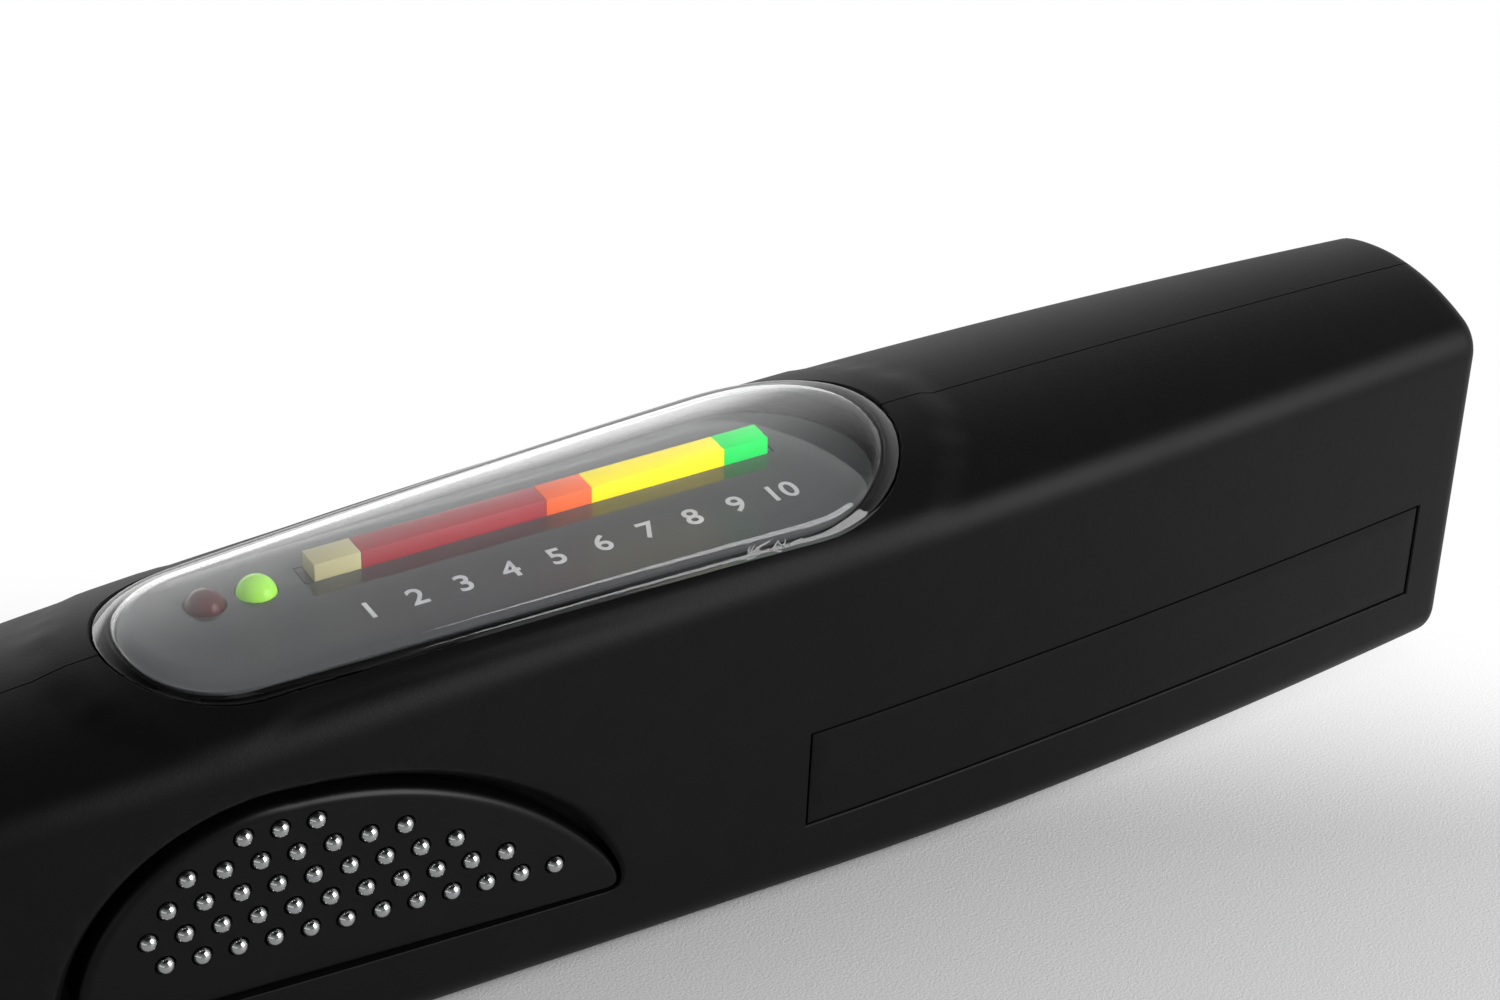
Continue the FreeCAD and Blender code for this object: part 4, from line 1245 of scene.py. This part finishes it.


# Light bar: colour, first block, the block after the last, and glow, which is a painted glow that brightens
# each colour
BLOCK_GROUPS = (("pale", 0, 1, 0.08), ("red", 1, 5, 0.05), ("orange", 5, 6, 0.3), ("yellow", 6, 9, 0.5),
                ("green", 9, 10, 0.8))
BLOCK_COUNT = 10
LAMP_FOOT, LAMP_TOP, LAMP_DOME, LAMP_Y = 26.0 * MM, 31.3 * MM, 1.35 * MM, 3.5 * MM
READY_X, BATTERY_X = -10.6 * MM, -14.6 * MM
NUMBER_Y, NUMBER_RELIEF, FONT_SCALE = -3.4 * MM, 0.012 * MM, 1.38


class TESTER_OT_display(TesterOperator, bpy.types.Operator):
    """Glossy panel, coloured light blocks, printed scale and the two round lights"""
    bl_idname = "tester.display"
    bl_label = "Display"

    def block(self, name, sizes, first, last):
        """One coloured light block with eased edges."""
        x0 = sizes.bar_front + first * sizes.pitch + sizes.gap / 2
        x1 = sizes.bar_front + last * sizes.pitch - sizes.gap / 2
        shaped = bmesh.new()
        made = bmesh.ops.create_cube(shaped, size=1.0)
        scale = Vector((x1 - x0, sizes.block_width, BLOCK_TOP - BLOCK_FOOT))
        bmesh.ops.scale(shaped, vec=scale, verts=made["verts"])
        centre = Vector(((x0 + x1) / 2, sizes.bar_y, (BLOCK_TOP + BLOCK_FOOT) / 2))
        bmesh.ops.translate(shaped, vec=centre, verts=made["verts"])
        bmesh.ops.bevel(
            shaped, geom=shaped.edges[:], offset=0.05 * MM, segments=2, profile=0.5, affect="EDGES")
        return shaped_object(name, shaped)

    def bar_ends(self, sizes):
        """Short pieces that close the slot before and behind the light bar."""
        low, high = PANEL_TOP - 0.9 * MM, PANEL_TOP - 0.01 * MM
        near, far = sizes.bar_y - sizes.block_width / 2, sizes.bar_y + sizes.block_width / 2
        bar_rear = sizes.bar_front + BLOCK_COUNT * sizes.pitch
        spans = ((BAR_SLOT[0], sizes.bar_front - sizes.gap), (bar_rear + sizes.gap, BAR_SLOT[1]))
        return joined("bar_ends", [box_solid("end", (x0, near, low), (x1, far, high)) for x0, x1 in spans])

    def lamp(self, name, x, sizes):
        """Round light with a low dome."""
        radius = sizes.light_radius
        profile = [(0, 0.05 * MM), (0, radius)]
        for sine, cosine in quarter_turn(12):
            profile.append((LAMP_TOP - LAMP_FOOT - LAMP_DOME * (1 - sine), max(radius * cosine, 0.02 * MM)))
        return turned_solid(name, profile, (x, LAMP_Y, LAMP_FOOT), AXIS_Z, 40)

    def number(self, text, x, sizes):
        """One printed number, a little raised."""
        curve = bpy.data.curves.new("number", "FONT")
        curve.body = text
        curve.size = sizes.number_height * FONT_SCALE
        curve.align_x = "CENTER"
        curve.extrude = NUMBER_RELIEF
        curve.offset = 0.04 * MM
        curve.resolution_u = 4
        letters = new_object("number", curve)
        mesh = evaluated_mesh(letters)
        bpy.data.objects.remove(letters)
        mesh.transform(Matrix.Translation((x, NUMBER_Y, PANEL_TOP + NUMBER_RELIEF)))
        return new_object("number", mesh)

    def numbers(self, sizes):
        """The scale: one number beside each block of the bar."""
        made = [self.number(str(i + 1), sizes.bar_front + (i + 0.5) * sizes.pitch, sizes)
                for i in range(BLOCK_COUNT)]
        printed = joined("panel_numbers", made)
        merged = bmesh.new()
        merged.from_mesh(printed.data)
        bmesh.ops.remove_doubles(merged, verts=merged.verts, dist=1e-7)
        merged.to_mesh(printed.data)
        merged.free()
        return printed

    def execute(self, context):
        sizes = context.scene.tester_display
        for name, first, last, glow in BLOCK_GROUPS:
            # The light blocks' emission is painted glow.
            material = lamp_and_painted_glow_surface("lit_" + name, getattr(sizes, name), glow)
            block = self.block("blocks_" + name, sizes, first, last)
            settle(block, material, HOUSING, "block_" + name, "light_blocks_" + name)
        gloss = display_gloss(context.scene)
        settle(self.bar_ends(sizes), gloss, HOUSING, "panel_gloss")
        green = lamp_and_painted_glow_surface("lamp_green", (0.27, 0.62, 0.05), 0.42, 0.15)
        # The red lamp is off; its faint emission is painted glow.
        red = lamp_and_painted_glow_surface("lamp_red", (0.06, 0.004, 0.006), 0.02, 0.12)
        settle(self.lamp("ready_lamp", READY_X, sizes), green, HOUSING, "led_green", "ready_light")
        settle(self.lamp("battery_lamp", BATTERY_X, sizes), red, HOUSING, "led_red", "battery_light")
        settle(self.numbers(sizes), printed_white(context.scene), HOUSING, "inner_white")
        dress("display_panel", gloss)
        return {"FINISHED"}


class TESTER_OT_grips(TesterOperator, bpy.types.Operator):
    """Half-moon pads with their polished contact domes"""
    bl_idname = "tester.grips"
    bl_label = "Grip pads"

    def pad(self, name, sizes, spots, satin):
        """Pad with a rounded edge and a hole for each dome."""
        edges = [sizes.edge * (0.35 + 0.65 * upper) for upper in pad_upper()]
        rings = [[(x, PAD_BACK, z) for x, z in pad_ring()]]
        for sine, cosine in quarter_turn(6):
            outline = pad_ring(0.0, [-edge * (1 - cosine) for edge in edges])
            rings.append([(x, -edge * (1 - sine), z) for (x, z), edge in zip(outline, edges)])
        rings.append([(x, 0.0, z) for x, z in pad_ring(-0.08 * MM, [-edge for edge in edges])])
        radius = sizes.dome_radius
        profile = [(PAD_BACK - 1 * MM, radius + 0.06 * MM), (-0.1 * MM, radius + 0.06 * MM),
                   (0.0, radius + 0.13 * MM), (0.3 * MM, radius + 0.2 * MM)]
        hole = turned_solid("hole", profile, (0, 0, 0), AXIS_Y, 20)
        return cut(ring_solid(name, rings), scattered("holes", spots, hole, satin))

    def domes(self, name, sizes, spots, chrome):
        """Contact domes on their common plate."""
        radius = sizes.dome_radius
        foot = PLATE_BACK + 0.1 * MM
        profile = [(foot, 0.05 * MM), (foot, radius)]
        for sine, cosine in quarter_turn(9):
            profile.append((sizes.dome_rise - radius * (1 - sine), max(radius * cosine, 0.01 * MM)))
        dome = turned_solid("dome", profile, (0, 0, 0), AXIS_Y, 24)
        plate = [[(x, depth, z) for x, z in pad_ring(-1.0 * MM)] for depth in (PLATE_BACK, PAD_BACK)]
        return joined(name, [scattered("domes", spots, dome, chrome), ring_solid("plate", plate)])

    def execute(self, context):
        scene = context.scene
        sizes = scene.tester_grip
        satin, chrome = grip_satin(scene), polished_chrome(scene)
        spots = dome_places(sizes)
        for name, side in (("left", -1), ("right", 1)):
            pad = self.pad(name + "_pad", sizes, spots, satin)
            domes = self.domes(name + "_contact_domes", sizes, spots, chrome)
            for piece in (pad, domes):
                piece.data.transform(pad_place(Hull(scene.tester_body), side))
                if side < 0:
                    piece.data.flip_normals()
            settle(pad, satin, HOUSING, "pad_satin", name + "_grip_pad", angle=30)
            settle(domes, chrome, HOUSING, "contact_chrome", name + "_contact_plate", angle=40)
        return {"FINISHED"}


class TESTER_OT_nose(TesterOperator, bpy.types.Operator):
    """Nose cone, steel sleeve and the sprung copper tip"""
    bl_idname = "tester.nose"
    bl_label = "Nose and probe"

    def cone(self, hull, sizes):
        """Loft from a collar inside the shells and their outline to a round front with an eased edge."""
        rings = []
        for x in (SHELL_FRONT + 5.0 * MM, SHELL_FRONT + 0.05 * MM):
            rings.append(full_ring(x, hull.outline(x, hull.sizes.wall + 0.1 * MM)))
        outline = full_ring(SHELL_FRONT, hull.outline(SHELL_FRONT))
        around = [Vector((y, z - PROBE_AXIS)) for x, y, z in outline]
        ways = [away.normalized() for away in around]

        def ring(x, radii):
            return [(x, way.x * radius, PROBE_AXIS + way.y * radius) for way, radius in zip(ways, radii)]

        rings.append(ring(SHELL_FRONT, [away.length - 0.12 * MM for away in around]))
        rings.append(ring(SHELL_FRONT - 0.15 * MM, [away.length for away in around]))
        steps = 24
        for step in range(1, steps):
            t = step / steps
            swell = 0.45 * MM * math.sin(math.pi * t)
            radii = [away.length * (1 - t) + sizes.cone_radius * t + swell for away in around]
            rings.append(ring(SHELL_FRONT + (CONE_FRONT - SHELL_FRONT) * t, radii))
        edge = 0.7 * MM
        for sine, cosine in quarter_turn(6):
            radius = sizes.cone_radius - edge * (1 - cosine)
            rings.append(ring(CONE_FRONT + edge * (1 - sine), [radius] * len(ways)))
        cone = ring_solid("nose_moulding", rings)
        cut(cone, rod("bore", 0, 20 * MM, 2.05 * MM, (-80 * MM, 0, PROBE_AXIS), AXIS_X))
        return cut(cone, rod("bore", 0, 30 * MM, 3.6 * MM, (-69 * MM, 0, PROBE_AXIS), AXIS_X))

    def sleeve(self, sizes):
        """Steel tube with a groove near its rear."""
        r = sizes.sleeve_radius
        groove = r - 0.12 * MM
        bore = sizes.pin_radius + 0.05 * MM
        profile = [(14 * MM, bore), (14 * MM, r), (8.2 * MM, r), (8.0 * MM, groove), (7.6 * MM, groove),
                   (7.4 * MM, r), (0.5 * MM, r), (0.0, r - 0.5 * MM), (0.0, bore + 0.1 * MM),
                   (0.15 * MM, bore)]
        return turned_solid("steel_sleeve", round_profile(profile, 0.12 * MM), (SLEEVE_FRONT, 0, PROBE_AXIS),
                            AXIS_X, tube=True)

    def tip(self, hull, sizes):
        """Copper pin with a fine point and the collar that the spring pushes."""
        p = sizes.pin_radius
        point = in_mm(((0, 0.02), (0.03, 0.16), (0.12, 0.26), (0.25, 0.32)))
        collar = in_mm(((20.05, 1.7), (21.25, 1.7), (21.25, 0.05)))
        profile = [*point, (2.6 * MM, p), (20.05 * MM, p), *collar]
        return turned_solid("copper_tip", profile, (-hull.rear, 0, PROBE_AXIS), AXIS_X, 48)

    def execute(self, context):
        scene = context.scene
        sizes = scene.tester_probe
        hull = Hull(scene.tester_body)
        settle(self.cone(hull, sizes), nose_plastic(scene), HOUSING, "nose_plastic", "nose_cone", angle=35)
        settle(self.sleeve(sizes), steel(scene), HOUSING, "steel", "probe_sleeve")
        settle(self.tip(hull, sizes), copper(scene), PROBE, "copper", "probe_tip", angle=40)
        start, length, room, radius = -67.75 * MM, 11.75 * MM, 0.2 * MM, 1.45 * MM
        turns = float(sizes.spring_turns)
        spring = wound("probe_coil", (radius, radius), 0.17 * MM, length - 2 * room, turns,
                       (start + room, 0, PROBE_AXIS), steel(scene))
        settle(spring, steel(scene), HOUSING, "steel", "probe_spring", angle=50)
        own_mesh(spring)
        dress("probe_carrier", white_moulding())
        return {"FINISHED"}


class TESTER_OT_button(TesterOperator, bpy.types.Operator):
    """Round power button with a dished face"""
    bl_idname = "tester.button"
    bl_label = "Power button"

    def execute(self, context):
        body = context.scene.tester_body
        skin = Hull(body).side(BUTTON_X, BUTTON_Z)
        inner = skin - body.wall - 1.15 * MM
        cap = skin + 0.45 * MM - inner
        dish_radius, dish_depth = 3.5 * MM, 0.32 * MM
        flange = in_mm(((-0.6, 0.05), (-0.6, 1.3), (0, 1.3), (0, 4.8), (0.8, 4.8), (0.8, 3.9)))
        profile = [*flange, (cap - 0.3 * MM, 3.9 * MM), (cap - 0.08 * MM, 3.78 * MM), (cap, dish_radius)]
        for t in spread(0, 1, 8)[1:]:
            profile.append((cap - dish_depth * math.sin(math.pi / 2 * t), dish_radius * (1 - t) + 0.02 * MM))
        button = turned_solid("power_cap", profile, (BUTTON_X, inner, BUTTON_Z), AXIS_Y, 96)
        settle(button, button_moulding(), BUTTON, "button_plastic", "power_button", angle=35)
        dress("switch_plunger", white_moulding())
        return {"FINISHED"}


# Cells: name, place of the end towards the nose, height, and whether the nub is at that end
CELLS = (("lower", 42.4 * MM, 9.1 * MM, False), ("upper", 40.6 * MM, 19.8 * MM, True))
# Battery springs: radii at both ends, length, place of the front end and height, in millimetres
BATTERY_SPRINGS = (((3.2, 2.0), 1.55, 40.7, 9.1), ((2.0, 3.2), 1.5, 85.2, 19.8))


class TESTER_OT_power(TesterOperator, bpy.types.Operator):
    """Battery door, the two cells and their contacts"""
    bl_idname = "tester.power"
    bl_label = "Battery bay"

    def cell(self, name, x, z, flip, wrap, metal):
        """Wrapped cell with a bare nub and a crimped end."""
        r, end = 5.2, 43.5
        profile = in_mm((
            (0, 0.05), (0, 3.6), (0.12, 4.3), (0, 4.9), (0.15, r - 0.1), (0.4, r),
            (end - 0.9, r), (end - 0.6, r - 0.15), (end - 0.45, r - 0.1), (end - 0.1, r - 0.3),
            (end, r - 0.6), (end - 0.15, 3.4), (end - 0.15, 2.1), (end, 1.9), (end + 0.85, 1.85),
            (end + 1.0, 1.6), (end + 1.0, 0.05)))
        way = -1 if flip else 1
        foot = x + (end + 1.0) * MM if flip else x
        cell = turned_solid(name, profile, (foot, 0, z), (way, 0, 0), 72)
        cell.data.materials.append(wrap)
        cell.data.materials.append(metal)
        for face in cell.data.polygons:
            run = (face.center.x - foot) * way / MM
            away = math.hypot(face.center.y, face.center.z - z) / MM
            if run > end - 0.75 or run < 0.3 or away < 4.5:
                face.material_index = 1
        return cell

    def door(self, hull, body):
        """Sliding door with its flanges and five finger grooves."""
        door = outer_solid(hull)
        keep(door, box_solid("room", (DOOR_FRONT, -DOOR_HALF, -1 * MM), (FAR_X, DOOR_HALF, DOOR_TOP)))
        cut(door, box_solid("over", (DOOR_FRONT - 1 * MM, -6 * MM, FLANGE_FOOT + DOOR_GAP),
                            (hull.rear - body.wall + DOOR_GAP, 6 * MM, 10 * MM)))
        add(door, box_solid("flange", (DOOR_FRONT, -FLANGE_HALF, FLANGE_FOOT),
                            (hull.rear - body.rear_edge, FLANGE_HALF, DOOR_TOP)))
        width, depth, half = 0.8 * MM, 0.45 * MM, 3.5 * MM
        for i in range(5):
            x = DOOR_FRONT + (5 + 2 * i) * MM
            section = [(x + width / 2 + width / 2 * math.cos(angle), depth * math.sin(angle))
                       for angle in spread(0, math.pi, 8)]
            section += [(x, -1 * MM), (x + width, -1 * MM)]
            cut(door, ring_solid("finger", [[(px, y, pz) for px, pz in section] for y in (-half, half)]))
        door.name = "battery_hatch"
        return door

    def execute(self, context):
        scene = context.scene
        metal = steel(scene)
        for name, x, z, flip in CELLS:
            cell = self.cell(name + "_battery", x, z, flip, cell_sleeve(), metal)
            settle(cell, None, HOUSING, "cell_wrap", name + "_cell", angle=40)
        springs = []
        for (near, far), length, x, z in BATTERY_SPRINGS:
            place = (x * MM, 0, z * MM)
            springs.append(wound("spring", (near * MM, far * MM), 0.2 * MM, length * MM, 3.0, place, metal))
        settle(joined("battery_coils", springs), metal, HOUSING, "steel", "battery_springs", angle=50)
        for contact in ("front_contacts", "rear_contact"):
            dress(contact, metal)
        door = self.door(Hull(scene.tester_body), scene.tester_body)
        settle(door, plastic(scene), DOOR, "body_plastic", "battery_door", angle=28)
        return {"FINISHED"}


class TESTER_OT_fastenings(TesterOperator, bpy.types.Operator):
    """Case screws with crossed slots"""
    bl_idname = "tester.fastenings"
    bl_label = "Case screws"

    def execute(self, context):
        hull = Hull(context.scene.tester_body)
        profile = in_mm(((-13, 0.02), (-13, 0.5), (-12.2, 0.9), (0, 0.9), (0, 1.7), (0.7, 1.7), (1.1, 1.1),
                         (1.1, 0.02)))
        profile = round_profile(profile, 0.15 * MM, skip=(1, 2, 3))
        screw = turned_solid("screw", profile, (0, 0, 0), AXIS_Y, 40)
        for wide, deep in in_mm(((0.95, 0.16), (0.16, 0.95))):
            cut(screw, box_solid("slot", (-wide, 0.45 * MM, -deep), (wide, 2 * MM, deep)))
        spots = [(x, screw_seat(hull, x, z), z) for x, z in SCREW_PLACES]
        black = blackened_screw()
        screws = scattered("screws", spots, screw, black)
        settle(screws, black, HOUSING, "screw_black", "case_screws", angle=35)
        return {"FINISHED"}


class TESTER_OT_electronics(TesterOperator, bpy.types.Operator):
    """Finishes of the board and of what stands on it"""
    bl_idname = "tester.electronics"
    bl_label = "Board"

    def execute(self, context):
        dress("circuit_board", board_lacquer())
        for name in ("controller_chip", "amplifier_chip", "buzzer", "tact_switch", "light_bar_body"):
            dress(name, chip_resin())
        dress("display_frame", white_moulding())
        return {"FINISHED"}


# Camera's own right, up and back
CAMERA_AXES = ((0.86847, -0.49533, 0.02023), (0.25191, 0.47609, 0.84254), (-0.42697, -0.72663, 0.53825))
KEY_PLACE, KEY_TARGET, KEY_SIZE = (0.29, -0.35, 0.22), (0.0, 0.0, 0.02), (0.3, 0.36)
FLOOR_HALF, FLOOR_LEVEL = 4, -0.02 * MM
WALL_GREY = 0.95
# Level directions in the room, as (x, y)
BEHIND, BEFORE, LEFT = (0.5, 0.86), (-0.6, -0.8), (-0.89, 0.45)


class TESTER_OT_stage(TesterOperator, bpy.types.Operator):
    """Pale floor, the room's soft light, one lamp and the camera"""
    bl_idname = "tester.stage"
    bl_label = "Stage"

    def floor_material(self, settings):
        """Pale textured floor, darkened before the object with painted shade, that turns into the white of
        the backdrop far behind the object.
        """
        material = bpy.data.materials.new("floor")
        material.use_nodes = True
        tree = material.node_tree
        place = object_place(tree)
        parts = node(tree, "ShaderNodeSeparateXYZ", {0: place})
        bump = node(tree, "ShaderNodeBump", {
            "Strength": 1.0, "Distance": 0.00006, "Height": noise(tree, place, 4200.0, 3.0, 0.6)})
        far = fade(tree, level_run(tree, parts, *BEHIND), 0.01, 0.048)
        # Painted shade: the floor's colour turns from the floor colour to the floor shade before the object.
        painted_front_shade = fade(tree, level_run(tree, parts, *BEFORE), 0.01, 0.10)
        near = mixed(tree, painted_front_shade, settings.floor, settings.shade)
        shader = fill(tree, tree.nodes["Principled BSDF"], {
            "Roughness": 0.6, "Specular IOR Level": 0.2, "Normal": bump.outputs["Normal"],
            "Base Color": mixed(tree, far, near, settings.backdrop)})
        glow = node(tree, "ShaderNodeEmission", {"Color": settings.backdrop, "Strength": 1.0})
        rays = tree.nodes.new("ShaderNodeLightPath").outputs
        seen = maths(tree, "ADD", rays["Is Camera Ray"], rays["Is Glossy Ray"], True)
        seen = maths(tree, "ADD", seen, rays["Is Transmission Ray"], True)
        show_blend(tree, maths(tree, "MULTIPLY", seen, far), shader, glow)
        return material

    def room(self, settings):
        """Even light on the object; what shines or is clear mirrors a wall, darker overhead and in front."""
        world = bpy.data.worlds.new("room")
        world.use_nodes = True
        tree = world.node_tree
        place = tree.nodes.new("ShaderNodeTexCoord").outputs["Generated"]
        parts = node(tree, "ShaderNodeSeparateXYZ", {0: place})
        height = parts.outputs["Z"]
        wall = fade(tree, height, 0.34, 0.9, WALL_GREY, settings.ceiling)
        front = fade(tree, level_run(tree, parts, *BEHIND), -0.5, 0.3, settings.front, 1.0)
        left = fade(tree, level_run(tree, parts, *LEFT), -0.1, 0.14)
        low = fade(tree, height, 0.14, 0.34, settings.veil, 0.0)
        level = maths(tree, "ADD", wall, maths(tree, "MULTIPLY", left, low))
        rays = tree.nodes.new("ShaderNodeLightPath").outputs
        mirrored = maths(tree, "ADD", rays["Is Glossy Ray"], rays["Is Transmission Ray"], True)
        inputs = {0: mirrored, 2: settings.room, 3: maths(tree, "MULTIPLY", level, front)}
        strength = node(tree, "ShaderNodeMix", inputs, data_type="FLOAT").outputs[0]
        fill(tree, tree.nodes["Background"], {
            "Color": (1, 1, 1, 1), "Strength": maths(tree, "MAXIMUM", strength, rays["Is Camera Ray"])})
        return world

    def lamp(self, power):
        """Low soft lamp in front, which draws the lit edges."""
        data = bpy.data.lights.new("key", "AREA")
        data.shape = "RECTANGLE"
        data.size, data.size_y = KEY_SIZE
        data.energy = power
        lamp = new_object("key", data)
        lamp.location = KEY_PLACE
        lamp.rotation_euler = (Vector(KEY_TARGET) - Vector(KEY_PLACE)).to_track_quat("-Z", "Y").to_euler()

    def camera(self, settings):
        camera = new_object("camera", bpy.data.cameras.new("camera"))
        turn = Matrix(CAMERA_AXES).transposed().to_4x4()
        camera.matrix_world = Matrix.Translation(settings.camera_place) @ turn
        camera.data.lens = settings.lens
        camera.data.sensor_width = 36.0
        camera.data.clip_start = 0.01
        return camera

    def execute(self, context):
        scene = context.scene
        settings = scene.tester_stage
        signs = ((-1, -1), (1, -1), (1, 1), (-1, 1))
        corners = [(x * FLOOR_HALF, y * FLOOR_HALF, FLOOR_LEVEL) for x, y in signs]
        floor = mesh_object("floor", corners, [(0, 1, 2, 3)])
        floor.data.materials.append(self.floor_material(settings))
        scene.world = self.room(settings)
        self.lamp(settings.key)
        scene.camera = self.camera(settings)
        scene.view_settings.view_transform = "Standard"
        return {"FINISHED"}


class TESTER_PT_panel(bpy.types.Panel):
    """Sizes, colours and steps of the tester"""
    bl_idname = "TESTER_PT_panel"
    bl_label = "Diamond Tester"
    bl_space_type = "VIEW_3D"
    bl_region_type = "UI"
    bl_category = "Tester"

    def draw(self, context):
        for label in SETTINGS:
            column = self.layout.column(align=True)
            column.label(text=label.replace("tester_", "").title())
            settings = getattr(context.scene, label)
            for name in settings.bl_rna.properties.keys():
                if name not in ("rna_type", "name"):
                    column.prop(settings, name)
        for step in STEPS:
            self.layout.operator(step.bl_idname)


SETTINGS = {
    "tester_body": BodySizes,
    "tester_window": WindowSizes,
    "tester_display": DisplaySizes,
    "tester_grip": GripSizes,
    "tester_probe": ProbeSizes,
    "tester_stage": StageSettings,
}
STEPS = (
    TESTER_OT_housing,
    TESTER_OT_window,
    TESTER_OT_display,
    TESTER_OT_grips,
    TESTER_OT_nose,
    TESTER_OT_button,
    TESTER_OT_power,
    TESTER_OT_fastenings,
    TESTER_OT_electronics,
    TESTER_OT_stage,
)


def register():
    for label, group in SETTINGS.items():
        bpy.utils.register_class(group)
        setattr(bpy.types.Scene, label, bpy.props.PointerProperty(type=group))
    for step in (*STEPS, TESTER_PT_panel):
        bpy.utils.register_class(step)


def unregister():
    for step in (TESTER_PT_panel, *reversed(STEPS)):
        bpy.utils.unregister_class(step)
    for label, group in SETTINGS.items():
        delattr(bpy.types.Scene, label)
        bpy.utils.unregister_class(group)


def main():
    register()
    for step in STEPS:
        family, name = step.bl_idname.split(".")
        getattr(getattr(bpy.ops, family), name)()


if __name__ == "__main__":
    main()
